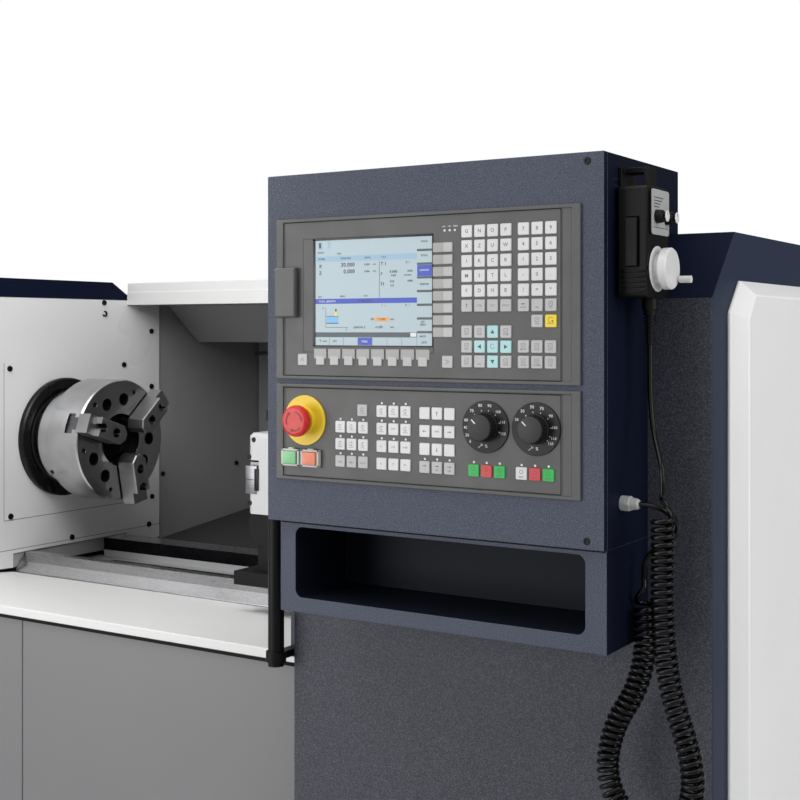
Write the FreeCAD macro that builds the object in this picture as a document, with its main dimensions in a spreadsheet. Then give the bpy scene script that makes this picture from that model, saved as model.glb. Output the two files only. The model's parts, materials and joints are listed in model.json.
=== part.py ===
import FreeCAD, Part
import math
import os

import Sketcher
from FreeCAD import Placement, Rotation, Vector

# A flat-bed turning lathe with numeric control: base and bed, headstock with a three-jaw chuck, carriage,
# tailstock, guards with two sliding hood leaves, and a control cabinet with its hand unit.
# Frame: millimetres, +X towards the tailstock, +Y away from the operator, +Z up, the floor at zero,
# the origin under the middle of the machine.

doc = FreeCAD.newDocument("turning_lathe")

# ---------------------------------------------------------------- driving dimensions

SIZES = [
    # name, value, what it is
    ("nil", 0, "zero, for sketches on an axis"),
    ("half_length", 1165, "half of the overall length"),
    ("rear_y", 725, "outside of the rear guard"),
    ("sheet", 3, "thickness of the guard sheet"),
    ("slide_gap", 0.3, "gap between a sliding piece and its way"),
    ("run_gap", 0.05, "radial clearance of a running fit"),
    # base
    ("foot_height", 60, "underside of the base"),
    ("foot_dia", 90, "levelling foot pad"),
    ("foot_pad", 18, "levelling foot pad thickness"),
    ("stud_dia", 22, "levelling stud"),
    ("plinth_height", 80, "plinth that carries the guards"),
    ("plinth_lap", 30, "guards over the plinth's face"),
    ("plinth_front", -553, "front of the plinth"),
    ("base_front", -520, "front face of the base"),
    ("base_back", 600, "back face of the base"),
    ("base_top", 700, "top of the base, under the bed"),
    ("base_wall", 12, "plate thickness of the base"),
    ("skirt_top", 902, "top edge of the front skirt"),
    ("skirt_seam_x", -28, "seam between the two skirt panels"),
    # bed
    ("bed_inset_left", 85, "left end of the bed inside the machine's left side"),
    ("bed_inset_right", 53.5, "right end of the bed inside the guard"),
    ("bed_front", -120, "front of the bed casting"),
    ("bed_back", 230, "back of the bed casting"),
    ("bed_top", 852, "ledge of the bed beside the ways"),
    ("way_top", 893, "top of the ways"),
    ("front_way_y", -70, "middle of the front way"),
    ("front_way_half", 38, "half of the front way's foot"),
    ("way_crown", 10, "half of the front way's flat crown"),
    ("rear_way_y", 180, "middle of the rear way"),
    ("rear_way_half", 30, "half of the rear way"),
    ("channel_front", -30, "front wall of the bed's channel"),
    ("channel_back", 130, "back wall of the bed's channel"),
    ("channel_floor", 760, "floor of the bed's channel"),
    # spindle line
    ("spindle_y", 29, "spindle axis"),
    ("spindle_z", 1130, "spindle axis height"),
    ("wall_x", -512.5, "left wall of the work space"),
    ("casting_inset", 165, "left face of the headstock casting inside the machine's left side"),
    ("casting_right", -560, "right face of the headstock casting"),
    ("casting_half", 200, "half width of the headstock casting"),
    ("casting_top", 1300, "top of the headstock casting"),
    ("journal_dia", 150, "spindle journal"),
    ("spindle_bore", 62, "through bore of the spindle"),
    ("nose_dia", 196, "spindle nose flange"),
    ("motor_dia", 320, "built-in spindle motor"),
    ("motor_length", 140, "built-in spindle motor length"),
    ("ring_dia", 256, "black ring round the spindle nose"),
    ("ring_bore", 216, "bore of the ring"),
    ("bar_opening", 90, "opening in the guard's left wall for bar stock"),
    ("ring_thick", 13, "ring thickness"),
    # chuck
    ("chuck_dia", 254, "chuck body"),
    ("chuck_face", -342.5, "front face of the chuck"),
    ("chuck_body_length", 85.5, "large diameter of the chuck"),
    ("chuck_flange_dia", 214, "rear flange of the chuck"),
    ("chuck_back", -478, "back of the chuck"),
    ("centre_hole_dia", 111, "recess in the middle of the chuck face"),
    ("centre_hole_depth", 22, "depth of that recess"),
    ("bolt_circle", 171.4, "bolt circle of the chuck screws"),
    ("bolt_hole_dia", 27, "counterbore of a chuck screw"),
    ("bolt_hole_depth", 18, "depth of that counterbore"),
    ("bolt_pair_angle", 17, "half the angle between two chuck screws"),
    ("tap_hole_dia", 11, "small threaded hole in the chuck face"),
    ("tap_circle", 214, "circle of the small threaded holes"),
    ("slot_width", 26, "neck of a jaw's T-slot"),
    ("slot_foot", 42, "foot of a jaw's T-slot"),
    ("slot_neck_depth", 16, "depth of the T-slot's neck"),
    ("slot_depth", 36, "depth of the whole T-slot"),
    ("slot_inner", 34, "radius at which a T-slot begins"),
    ("first_jaw_angle", 41, "first jaw, from +Y towards +Z"),
    ("jaw_gap", 0.1, "clearance of a master jaw in its slot"),
    ("master_inner", 44, "inner end of a master jaw"),
    ("master_length", 78, "length of a master jaw"),
    ("tooth_pitch", 3, "pitch of the jaw serration"),
    ("tooth_depth", 1.2, "depth of the jaw serration"),
    ("serration_stand", 3, "serrated pad above the chuck face"),
    ("jaw_inner", 30, "inner end of a top jaw"),
    ("jaw_length", 104, "length of a top jaw"),
    ("jaw_width", 40, "width of a top jaw"),
    ("jaw_height", 43, "height of a top jaw"),
    ("jaw_bevel", 2, "bevel round the front of a top jaw"),
    ("jaw_screw_dia", 20, "counterbore of a jaw screw"),
    ("jaw_screw_pitch", 40, "distance between the two jaw screws"),
    # carriage
    ("saddle_x", 140, "left side of the saddle"),
    ("saddle_length", 250, "saddle along the bed"),
    ("saddle_top", 916, "top of the saddle"),
    ("cross_top", 940, "top of the cross slide"),
    ("cross_x", 165, "left side of the cross slide"),
    ("cross_width", 190, "cross slide width"),
    ("cross_front", -215, "front of the cross slide"),
    ("cross_back", 180, "back of the cross slide"),
    ("turret_x", 180, "left side of the tool turret"),
    ("turret_size", 150, "side of the square turret"),
    ("turret_front", -200, "front of the turret"),
    ("turret_bottom", 1040, "bottom of the turret head"),
    ("turret_top", 1181, "top of the turret head"),
    ("tool_shank", 25, "side of a tool shank"),
    ("tool_tip", -14, "where the tool point stands across the bed"),
    ("screw_dia", 32, "feed screw"),
    ("screw_journal", 20, "journal of the feed screw"),
    ("screw_y", 90, "feed screw axis"),
    ("screw_z", 812, "feed screw height"),
    # tailstock
    ("tail_inset", 353.5, "front of the tailstock from the guard's right face"),
    ("tail_length", 210, "tailstock along the bed"),
    ("tail_half", 62, "half width of the tailstock barrel"),
    ("quill_dia", 75, "quill"),
    ("quill_out", 40, "quill beyond the tailstock at rest"),
    ("tail_wheel_dia", 200, "tailstock handwheel"),
    # guards
    ("hood_front", -556, "front plane of the guard"),
    ("hood_corner_drop", 72, "lower edge of the guard's chamfer under the top beam's top"),
    ("hood_chamfer", 80, "chamfer of the guard, both ways"),
    ("guard_width", 591.5, "front face of the fixed guard"),
    ("end_rise", 21.5, "end cover beyond the guard's right face"),
    ("cap_rise", 1, "top of the headstock cover over the top beam"),
    ("cap_break_y", 181, "where the cap starts to slope"),
    ("rear_top", 1433, "top of the rear guard"),
    ("beam_front", 224, "front of the top beam"),
    ("beam_depth", 40, "top beam, front to back"),
    ("beam_drop", 13, "bottom of the top beam under the rear guard's top"),
    ("beam_height", 50, "top beam"),
    ("beam_step", 2, "upper half of the beam behind its lower half"),
    ("ceiling_break_y", 365, "where the ceiling starts to slope"),
    ("ceiling_low_y", 470, "where the slope ends"),
    ("roof_depth", 100, "low ceiling under the rear guard's top"),
    ("back_wall_y", 712, "inside of the back wall"),
    ("floor_back_z", 905, "chip floor at the back wall"),
    ("sill_front", -526, "front lip of the sill"),
    ("sill_top", 908, "top of the sill's lip"),
    ("sill_bottom", 894, "lower edge of the sill's lip"),
    ("sill_break_y", -256, "where the sill flattens"),
    ("sill_break_z", 872, "height there"),
    ("sill_sheet", 4, "sill sheet"),
    ("leaf_end_gap", 56, "front hood leaf, open, from the guard's right face"),
    ("leaf_width", 560, "width of a hood leaf"),
    ("leaf_step", 21.5, "rear leaf's edge behind the front leaf's"),
    ("leaf_bottom", 904, "lower edge of the hood leaves"),
    ("leaf_sheet", 2.5, "leaf sheet"),
    ("runner_depth", 10, "runner of the front leaf on the sill"),
    ("rear_leaf_inset", 12, "rear leaf inside the guard"),
    ("front_leaf_inset", 25, "front leaf inside the guard"),
    ("window_left", 74, "leaf edge to window"),
    ("window_right", 60, "window to the leaf's other edge"),
    ("window_bottom", 985, "lower edge of the window"),
    ("window_head", 73, "upper edge of the window under the guard's chamfer"),
    ("window_lap", 15, "pane beyond the window's edge"),
    ("pane", 4, "window pane thickness"),
    ("handle_dia", 22, "door handle tube"),
    ("handle_y", -576, "door handle axis"),
    ("handle_in", 9, "door handle axis from the leaf's edge"),
    ("handle_bottom", 902, "lower end of the handle"),
    ("handle_top", 1258, "upper end of the handle"),
    ("end_left", -504, "front edge of the end cover"),
    ("end_chamfer", 38, "chamfer of the end cover, both ways"),
    ("end_drop", 13, "top of the end cover under the rear guard's top"),
    ("end_back", 640, "back edge of the end cover"),
    ("end_bottom", 170, "bottom of the end cover"),
    ("end_bevel", 18, "bevel of the end cover"),
    # control cabinet
    ("cabinet_offset", 537, "left side of the cabinet from the guard's right face"),
    ("cabinet_width", 460, "cabinet"),
    ("cabinet_drop", 278, "bottom of the cabinet under the guard's chamfer"),
    ("cabinet_head", 56, "cabinet over the operator panel"),
    ("cabinet_front", -674, "front edge of the cabinet shell"),
    ("cabinet_back", -456, "back of the cabinet above the hood"),
    ("door_depth", 10, "depth of the cabinet door"),
    ("door_sheet", 2.5, "sheet of the cabinet door"),
    ("pocket_inset", 14, "left side of the pocket box inside the cabinet's"),
    ("pocket_height", 114.5, "pocket box"),
    ("pocket_front", -676, "front of the pocket box"),
    ("pocket_side", 24, "wall beside the pocket's mouth"),
    ("pocket_sill", 19.5, "wall under the pocket's mouth"),
    ("pocket_head", 7, "wall over the pocket's mouth"),
    ("pocket_radius", 10, "corner radius of the mouth"),
    ("pocket_back", -562, "back of the pocket"),
    # panels
    ("panel_inset", 15.5, "left edge of both panels inside the cabinet's"),
    ("panel_width", 418, "both panels"),
    ("panel_stand", 3, "panel in front of the door"),
    ("panel_depth", 34, "panel housing behind the door"),
    ("panel_rim", 13, "rim of a panel over its cut-out"),
    ("lower_rise", 54, "machine panel over the cabinet's bottom"),
    ("lower_height", 120, "machine panel"),
    ("panel_gap", 6, "between the two panels"),
    ("upper_height", 200, "operator panel"),
    ("field_depth", 1.2, "inset field of a panel"),
    ("field_rim", 4, "rim above and below the field"),
    ("screen_inset", 42, "screen from the panel's left edge"),
    ("screen_width", 188, "screen"),
    ("screen_rise", 34, "screen over the panel's lower edge"),
    ("screen_height", 140, "screen"),
    ("screen_thick", 2, "screen glass"),
    ("foil", 0.4, "keypad foil"),
    ("key_rise", 1.2, "height of a key on the foil"),
    ("key_size", 12, "side of a key"),
    # operating elements
    ("stop_inset", 45, "emergency stop from the panel's left edge"),
    ("stop_rise", 75, "emergency stop over the machine panel's lower edge"),
    ("disc_dia", 62, "yellow disc"),
    ("disc_thick", 2, "yellow disc"),
    ("head_dia", 40, "emergency stop head"),
    ("head_front", -725, "front of the emergency stop head"),
    ("head_rise", 15, "thickness of the head"),
    ("head_stem", 26, "stem of the head"),
    ("start_inset", 25, "green button from the panel's left edge"),
    ("halt_inset", 55, "red button from the panel's left edge"),
    ("button_height", 28, "both buttons over the machine panel's lower edge"),
    ("button_side", 21, "side of a button"),
    ("button_rise", 9, "button in front of the panel"),
    ("button_travel", 3, "travel of a button"),
    ("feed_inset", 300, "feed override from the panel's left edge"),
    ("speed_inset", 364, "spindle override from the panel's left edge"),
    ("dial_height", 76.5, "both overrides over the machine panel's lower edge"),
    ("dial_dia", 58, "numbered dial"),
    ("dial_rise", 1.5, "numbered dial"),
    ("knob_dia", 38, "override knob"),
    ("knob_rise", 17, "override knob"),
    ("usb_inset", 2, "interface cover from the panel's left edge"),
    ("usb_lift", 77, "interface cover over the panel's lower edge"),
    ("usb_width", 32, "interface cover"),
    ("usb_height", 62, "interface cover"),
    ("usb_rise", 7, "interface cover"),
    # hand unit
    ("unit_gap", 4, "hand unit from the cabinet's side"),
    ("unit_front", -656, "front side of the hand unit"),
    ("unit_width", 66, "hand unit"),
    ("unit_thick", 34, "hand unit"),
    ("unit_drop", 159.5, "bottom of the hand unit under the cabinet's top"),
    ("unit_height", 123, "hand unit"),
    ("wheel_inset", 27, "handwheel from the hand unit's front side"),
    ("wheel_rise", 32, "handwheel over the hand unit's bottom"),
    ("unit_wheel_dia", 46, "handwheel of the hand unit"),
    ("unit_knob_dia", 16, "selector of the hand unit"),
    ("unit_knob_rise", 89.5, "selectors over the hand unit's bottom"),
    ("relief_length", 52, "strain relief of the hand unit"),
    ("relief_inset_x", 21.5, "strain relief from the back of the hand unit"),
    ("relief_inset_y", 41, "strain relief from the hand unit's front side"),
    # cord
    ("gland_y", -635, "cable gland"),
    ("gland_rise", 48, "cable gland over the cabinet's bottom"),
    ("gland_reach", 21.5, "cable gland beyond the cabinet"),
    ("wire_dia", 6, "cable of the hand unit"),
    ("curl_dia", 26.6, "outside of the curls"),
    ("curl_pitch", 8.5, "pitch of the curls"),
]


class Size:
    """A value that knows its number and the sheet expression that gives it."""

    def __init__(self, number, text):
        self.number = float(number)
        self.text = text

    def __float__(self):
        return self.number

    def joined(self, other, sign, number):
        return Size(number, "(%s %s %s)" % (self.text, sign, size(other).text))

    def __add__(self, other):
        return self.joined(other, "+", self.number + float(other))

    def __sub__(self, other):
        return self.joined(other, "-", self.number - float(other))

    def __mul__(self, other):
        return self.joined(other, "*", self.number * float(other))

    def __truediv__(self, other):
        return self.joined(other, "/", self.number / float(other))

    def __radd__(self, other):
        return size(other) + self

    def __rsub__(self, other):
        return size(other) - self

    def __rmul__(self, other):
        return size(other) * self

    def __neg__(self):
        return Size(-self.number, "(0 - %s)" % self.text)


def size(value):
    """A bare number as a Size."""
    return value if isinstance(value, Size) else Size(value, "%.6f" % value)


class Sheet:
    """The driving dimensions by name."""


sheet = doc.addObject("Spreadsheet::Sheet", "Sizes")
for row, (name, value, meaning) in enumerate(SIZES, 1):
    sheet.set("A%d" % row, name)
    sheet.set("B%d" % row, str(value))
    sheet.set("C%d" % row, meaning)
    sheet.setAlias("B%d" % row, name)
doc.recompute()
d = Sheet()
for name, _, _ in SIZES:
    setattr(d, name, Size(sheet.get(name), "Sizes." + name))

# places that follow from these dimensions
d.guard_right = d.half_length - d.end_rise
d.bed_left = d.bed_inset_left - d.half_length
d.bed_right = d.guard_right - d.bed_inset_right
d.casting_left = d.casting_inset - d.half_length
d.tail_x = d.guard_right - d.tail_inset
d.guard_left = d.guard_right - d.guard_width
d.leaf_left = d.guard_right - d.leaf_end_gap - d.leaf_width
d.cabinet_left = d.guard_right - d.cabinet_offset
d.beam_bottom = d.rear_top - d.beam_drop
d.beam_top = d.beam_bottom + d.beam_height
d.ceiling_low_z = d.rear_top - d.roof_depth
d.cap_top = d.beam_top + d.cap_rise
d.hood_corner_z = d.beam_top - d.hood_corner_drop
d.window_top = d.hood_corner_z - d.window_head
d.end_top = d.rear_top - d.end_drop
d.end_corner_z = d.end_top - d.end_chamfer
d.cabinet_right = d.cabinet_left + d.cabinet_width
d.cabinet_bottom = d.hood_corner_z - d.cabinet_drop
d.pocket_left = d.cabinet_left + d.pocket_inset
d.pocket_bottom = d.cabinet_bottom - d.pocket_height
d.panel_left = d.cabinet_left + d.panel_inset
d.panel_right = d.panel_left + d.panel_width
d.lower_bottom = d.cabinet_bottom + d.lower_rise
d.lower_top = d.lower_bottom + d.lower_height
d.upper_bottom = d.lower_top + d.panel_gap
d.upper_top = d.upper_bottom + d.upper_height
d.cabinet_top = d.upper_top + d.cabinet_head
d.screen_left = d.panel_left + d.screen_inset
d.screen_right = d.screen_left + d.screen_width
d.screen_bottom = d.upper_bottom + d.screen_rise
d.screen_top = d.screen_bottom + d.screen_height
d.stop_x = d.panel_left + d.stop_inset
d.stop_z = d.lower_bottom + d.stop_rise
d.start_x = d.panel_left + d.start_inset
d.halt_x = d.panel_left + d.halt_inset
d.button_z = d.lower_bottom + d.button_height
d.feed_x = d.panel_left + d.feed_inset
d.speed_x = d.panel_left + d.speed_inset
d.dial_z = d.lower_bottom + d.dial_height
d.usb_left = d.panel_left + d.usb_inset
d.usb_bottom = d.upper_bottom + d.usb_lift
d.unit_x = d.cabinet_right + d.unit_gap
d.unit_bottom = d.cabinet_top - d.unit_drop
d.unit_wheel_y = d.unit_front + d.wheel_inset
d.unit_wheel_z = d.unit_bottom + d.wheel_rise
d.unit_knob_z = d.unit_bottom + d.unit_knob_rise
d.gland_z = d.cabinet_bottom + d.gland_rise

# ---------------------------------------------------------------- how pieces are made

FINISHED = []

TO_FRONT = Rotation(Vector(0, 0, 1), -90)  # a turned piece's axis along -Y
ALONG = Rotation()


def keep(piece, label):
    """Names a sub-part and puts it on the list of what is written."""
    piece.Label = label
    FINISHED.append(piece)
    return piece


def place(piece, base, turn=ALONG):
    """Puts a piece at a point that is tied to the sheet."""
    piece.Placement = Placement(Vector(*[float(v) for v in base]), turn)
    for axis, value in zip("xyz", base):
        piece.setExpression("Placement.Base." + axis, size(value).text)


def origin_feature(body, role):
    return next(feature for feature in body.Origin.OriginFeatures if feature.Role == role)


def new_body(label):
    return keep(doc.addObject("PartDesign::Body", label), label)


def sketch_on(body, plane, start):
    """A sketch parallel to an origin plane. start counts along +X, +Y or +Z, across the plane."""
    sketch = body.newObject("Sketcher::SketchObject", body.Label + "_sketch")
    sketch.AttachmentSupport = [(origin_feature(body, plane), "")]
    sketch.MapMode = "FlatFace"
    offset = -size(start) if plane == "XZ_Plane" else size(start)
    sketch.AttachmentOffset = Placement(Vector(0, 0, float(offset)), ALONG)
    sketch.setExpression("AttachmentOffset.Base.z", offset.text)
    return sketch


def fix(sketch, kind, item, value, point=1):
    """One dimension of a sketch, tied to the sheet."""
    if kind in ("DistanceX", "DistanceY"):
        index = sketch.addConstraint(Sketcher.Constraint(kind, -1, 1, item, point, float(value)))
    else:
        index = sketch.addConstraint(Sketcher.Constraint(kind, item, float(value)))
    sketch.setExpression("Constraints[%d]" % index, size(value).text)


def draw_outline(sketch, points):
    """A closed outline of straight edges."""
    first = sketch.GeometryCount
    count = len(points)
    for index, (across, up) in enumerate(points):
        nxt = points[(index + 1) % count]
        start = Vector(float(across), float(up), 0)
        end = Vector(float(nxt[0]), float(nxt[1]), 0)
        sketch.addGeometry(Part.LineSegment(start, end))
    for index in range(count):
        follower = first + (index + 1) % count
        sketch.addConstraint(Sketcher.Constraint("Coincident", first + index, 2, follower, 1))
    for index, (across, up) in enumerate(points):
        fix(sketch, "DistanceX", first + index, across)
        fix(sketch, "DistanceY", first + index, up)


def draw_circle(sketch, across, up, diameter):
    middle = Vector(float(across), float(up), 0)
    item = sketch.addGeometry(Part.Circle(middle, Vector(0, 0, 1), float(diameter) / 2))
    fix(sketch, "DistanceX", item, across, 3)
    fix(sketch, "DistanceY", item, up, 3)
    fix(sketch, "Diameter", item, diameter)


def extrude(body, kind, sketch, plane, length):
    """A pad or pocket that runs along +X, +Y or +Z from its sketch."""
    before = body.Shape.Volume if kind == "Pocket" else 0
    feature = body.newObject("PartDesign::" + kind, body.Label + "_" + kind.lower())
    feature.Profile = sketch
    feature.Length = float(length)
    feature.setExpression("Length", size(length).text)
    feature.Reversed = (plane == "XZ_Plane") == (kind == "Pad")
    body.Tip = feature
    doc.recompute()
    if kind == "Pocket" and body.Shape.Volume > before - 1e-6:
        raise RuntimeError(body.Label + ": a pocket cuts nothing")
    return feature


def pad(body, plane, outlines, start, length):
    sketch = sketch_on(body, plane, start)
    for outline in outlines:
        draw_outline(sketch, outline)
    return extrude(body, "Pad", sketch, plane, length)


def pocket(body, plane, outlines, start, length):
    sketch = sketch_on(body, plane, start)
    for outline in outlines:
        draw_outline(sketch, outline)
    return extrude(body, "Pocket", sketch, plane, length)


def bore(body, plane, holes, start, length):
    """Round holes: (across, up, diameter) in the plane's own axes."""
    sketch = sketch_on(body, plane, start)
    for across, up, diameter in holes:
        draw_circle(sketch, across, up, diameter)
    return extrude(body, "Pocket", sketch, plane, length)


def boss(body, plane, circles, start, length):
    sketch = sketch_on(body, plane, start)
    for across, up, diameter in circles:
        draw_circle(sketch, across, up, diameter)
    return extrude(body, "Pad", sketch, plane, length)


def prism(label, plane, outline, start, length):
    body = new_body(label)
    pad(body, plane, [outline], start, length)
    return body


def turned(label, outline, base, turn=ALONG):
    """A piece turned about its own X axis: outline points are (along the axis, radius)."""
    body = new_body(label)
    sketch = sketch_on(body, "XY_Plane", d.nil)
    draw_outline(sketch, outline)
    feature = body.newObject("PartDesign::Revolution", label + "_turned")
    feature.Profile = sketch
    feature.ReferenceAxis = (sketch, ["H_Axis"])
    feature.Angle = 360
    body.Tip = feature
    place(body, base, turn)
    doc.recompute()
    return body


def rectangle(left, right, bottom, top):
    return [(left, bottom), (right, bottom), (right, top), (left, top)]


def dress(body, kind, amount, wanted):
    """A fillet or chamfer on the edges that wanted picks, each given by its own centre and box."""
    doc.recompute()
    base = body.Tip
    names = []
    for index, edge in enumerate(base.Shape.Edges, 1):
        if wanted(edge.CenterOfMass, edge.BoundBox):
            names.append("Edge%d" % index)
    if not names:
        raise RuntimeError(body.Label + ": no edge to dress")
    feature = body.newObject("PartDesign::" + kind, body.Label + "_" + kind.lower())
    feature.Base = (base, names)
    key = "Radius" if kind == "Fillet" else "Size"
    setattr(feature, key, float(amount))
    feature.setExpression(key, size(amount).text)
    body.Tip = feature
    doc.recompute()
    return feature


def repeat_round(body, features, count):
    """Repeats features about the body's own X axis."""
    pattern = body.newObject("PartDesign::PolarPattern", body.Label + "_pattern")
    pattern.Originals = features
    pattern.Axis = (origin_feature(body, "X_Axis"), [""])
    pattern.Angle = 360
    pattern.Occurrences = count
    body.Tip = pattern
    doc.recompute()
    return pattern


def free_shape(label, shape):
    """A sub-part that Part's own functions make."""
    return set_shape(keep(doc.addObject("Part::Feature", label), label), shape)


def set_shape(piece, shape):
    piece.Shape = shape
    return piece


def block(low, high):
    corner = Vector(*[float(v) for v in low])
    sides = [float(b) - float(a) for a, b in zip(low, high)]
    return Part.makeBox(sides[0], sides[1], sides[2], corner)


# ---------------------------------------------------------------- base and bed

plinth_top = d.foot_height + d.plinth_height
guard_bottom = plinth_top - d.plinth_lap
inner_left = -d.half_length + d.sheet
base = prism(
    "base_frame",
    "YZ_Plane",
    [
        (d.plinth_front, d.foot_height),
        (d.plinth_front, plinth_top),
        (d.base_front, plinth_top),
        (d.base_front, d.skirt_top),
        (d.base_front + d.sill_sheet, d.skirt_top),
        (d.base_front + d.sill_sheet, d.base_top),
        (d.base_back, d.base_top),
        (d.base_back, plinth_top),
        (d.rear_y - d.sheet, plinth_top),
        (d.rear_y - d.sheet, d.foot_height),
    ],
    inner_left,
    d.guard_right - d.sheet - inner_left,
)
pocket(
    base,
    "XY_Plane",
    [
        rectangle(
            inner_left + d.base_wall,
            d.guard_right - d.sheet - d.base_wall,
            d.base_front + d.base_wall,
            d.base_back - d.base_wall,
        )
    ],
    d.foot_height,
    d.base_top - d.base_wall - d.foot_height,
)
pocket(
    base,
    "XY_Plane",
    [
        rectangle(
            inner_left + d.base_wall,
            d.guard_right - d.sheet - d.base_wall,
            d.base_back,
            d.rear_y - d.sheet - d.base_wall,
        )
    ],
    d.foot_height,
    d.plinth_height - d.base_wall,
)
pocket(
    base,
    "YZ_Plane",
    [
        rectangle(
            d.base_front - 1,
            d.base_front + 1,
            plinth_top + d.base_wall,
            d.skirt_top + 1,
        )
    ],
    d.skirt_seam_x - 1,
    size(2),
)


def foot(across, along):
    """One levelling foot: pad, cone and stud."""
    pad_shape = Part.makeCylinder(float(d.foot_dia) / 2, float(d.foot_pad) / 2)
    cone = Part.makeCone(
        float(d.foot_dia) / 2,
        float(d.stud_dia),
        float(d.foot_pad) / 2,
        Vector(0, 0, float(d.foot_pad) / 2),
    )
    stud = Part.makeCylinder(float(d.stud_dia) / 2, float(d.foot_height))
    shape = pad_shape.fuse([cone, stud]).removeSplitter()
    shape.translate(Vector(float(across), float(along), 0))
    return shape


foot_inset = d.foot_dia
foot_rows = [d.base_front + foot_inset, d.base_back - foot_inset]
foot_columns = [inner_left + foot_inset * 2, d.nil, d.guard_right - foot_inset * 2]
free_shape(
    "levelling_feet",
    Part.makeCompound([foot(x, y) for x in foot_columns for y in foot_rows]),
)
# the feet carry the base on blocks inside its hollow
for x in foot_columns:
    pad(
        base,
        "XY_Plane",
        [
            rectangle(
                x - d.foot_dia / 2,
                x + d.foot_dia / 2,
                d.base_front + d.base_wall / 2,
                d.base_front + foot_inset * 3 / 2,
            ),
            rectangle(
                x - d.foot_dia / 2,
                x + d.foot_dia / 2,
                d.base_back - foot_inset * 3 / 2,
                d.base_back - d.base_wall / 2,
            ),
        ],
        d.foot_height,
        d.base_wall * 2,
    )

bed = prism(
    "bed",
    "YZ_Plane",
    [
        (d.bed_front, d.base_top),
        (d.bed_front, d.bed_top),
        (d.channel_front, d.bed_top),
        (d.channel_front, d.channel_floor),
        (d.channel_back, d.channel_floor),
        (d.channel_back, d.bed_top),
        (d.bed_back, d.bed_top),
        (d.bed_back, d.base_top),
    ],
    d.bed_left,
    d.bed_right - d.bed_left,
)
way_foot = d.bed_top + (d.way_top - d.bed_top) / 8
pad(
    bed,
    "YZ_Plane",
    [
        [
            (d.front_way_y - d.front_way_half, d.bed_top),
            (d.front_way_y - d.front_way_half, way_foot),
            (d.front_way_y - (d.front_way_half + d.way_crown) / 2, (way_foot + d.way_top) / 2),
            (d.front_way_y - d.way_crown, d.way_top),
            (d.front_way_y + d.way_crown, d.way_top),
            (d.front_way_y + d.way_crown, d.bed_top),
        ],
        rectangle(
            d.rear_way_y - d.rear_way_half,
            d.rear_way_y + d.rear_way_half,
            d.bed_top,
            d.way_top,
        ),
    ],
    d.wall_x,
    d.bed_right - d.wall_x,
)
bearing_width = 30
bearing_starts = [d.wall_x + 12, d.bed_right - 40]
for start in bearing_starts:
    pad(
        bed,
        "YZ_Plane",
        [rectangle(d.channel_front, d.channel_back, d.channel_floor, d.bed_top - 4)],
        start,
        size(bearing_width),
    )
    bore(
        bed,
        "YZ_Plane",
        [(d.screw_y, d.screw_z, d.screw_journal + d.run_gap * 2)],
        start,
        size(bearing_width),
    )

screw_start = bearing_starts[0] + bearing_width + 1
screw_end = bearing_starts[1] - 1
turned(
    "feed_screw",
    [
        (d.nil - bearing_width, d.nil),
        (d.nil - bearing_width, d.screw_journal / 2),
        (d.nil, d.screw_journal / 2),
        (d.nil, d.screw_dia / 2),
        (screw_end - screw_start, d.screw_dia / 2),
        (screw_end - screw_start, d.screw_journal / 2),
        (screw_end - screw_start + bearing_width, d.screw_journal / 2),
        (screw_end - screw_start + bearing_width, d.nil),
    ],
    (screw_start, d.screw_y, d.screw_z),
)

prism(
    "front_sill",
    "YZ_Plane",
    [
        (d.sill_front, d.sill_bottom),
        (d.sill_front, d.sill_top),
        (d.sill_break_y, d.sill_break_z),
        (d.bed_front + 8, d.bed_top + d.sill_sheet),
        (d.bed_front + 8, d.bed_top),
        (d.sill_break_y, d.sill_break_z - d.sill_sheet),
        (d.sill_front + d.sill_sheet, d.sill_top - d.sill_sheet * 9 / 8),
        (d.sill_front + d.sill_sheet, d.sill_bottom),
    ],
    d.wall_x,
    d.guard_right - d.sheet - d.wall_x,
)

cover_step = 14
prism(
    "screw_cover",
    "YZ_Plane",
    [
        (d.channel_front - 24, d.bed_top),
        (d.channel_front - 24, d.bed_top + d.sheet),
        (d.channel_front + 36, d.bed_top + d.sheet),
        (d.channel_front + 36, d.bed_top + d.sheet + cover_step),
        (d.channel_front + 80, d.bed_top + d.sheet + cover_step),
        (d.channel_front + 80, d.bed_top + cover_step),
        (d.channel_front + 36 + d.sheet, d.bed_top + cover_step),
        (d.channel_front + 36 + d.sheet, d.bed_top),
    ],
    d.wall_x + 132.5,
    d.bed_right - d.wall_x - 172.5,
)

# ---------------------------------------------------------------- headstock

casting = prism(
    "headstock_casting",
    "YZ_Plane",
    [
        (d.spindle_y - d.casting_half, d.bed_top),
        (d.spindle_y - d.casting_half, d.casting_top - 90),
        (d.spindle_y - d.casting_half + 90, d.casting_top),
        (d.spindle_y + d.casting_half - 90, d.casting_top),
        (d.spindle_y + d.casting_half, d.casting_top - 90),
        (d.spindle_y + d.casting_half, d.bed_top),
    ],
    d.casting_left,
    d.casting_right - d.casting_left,
)
bore(
    casting,
    "YZ_Plane",
    [(d.spindle_y, d.spindle_z, d.journal_dia + d.run_gap * 2)],
    d.casting_left,
    d.casting_right - d.casting_left,
)

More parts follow.
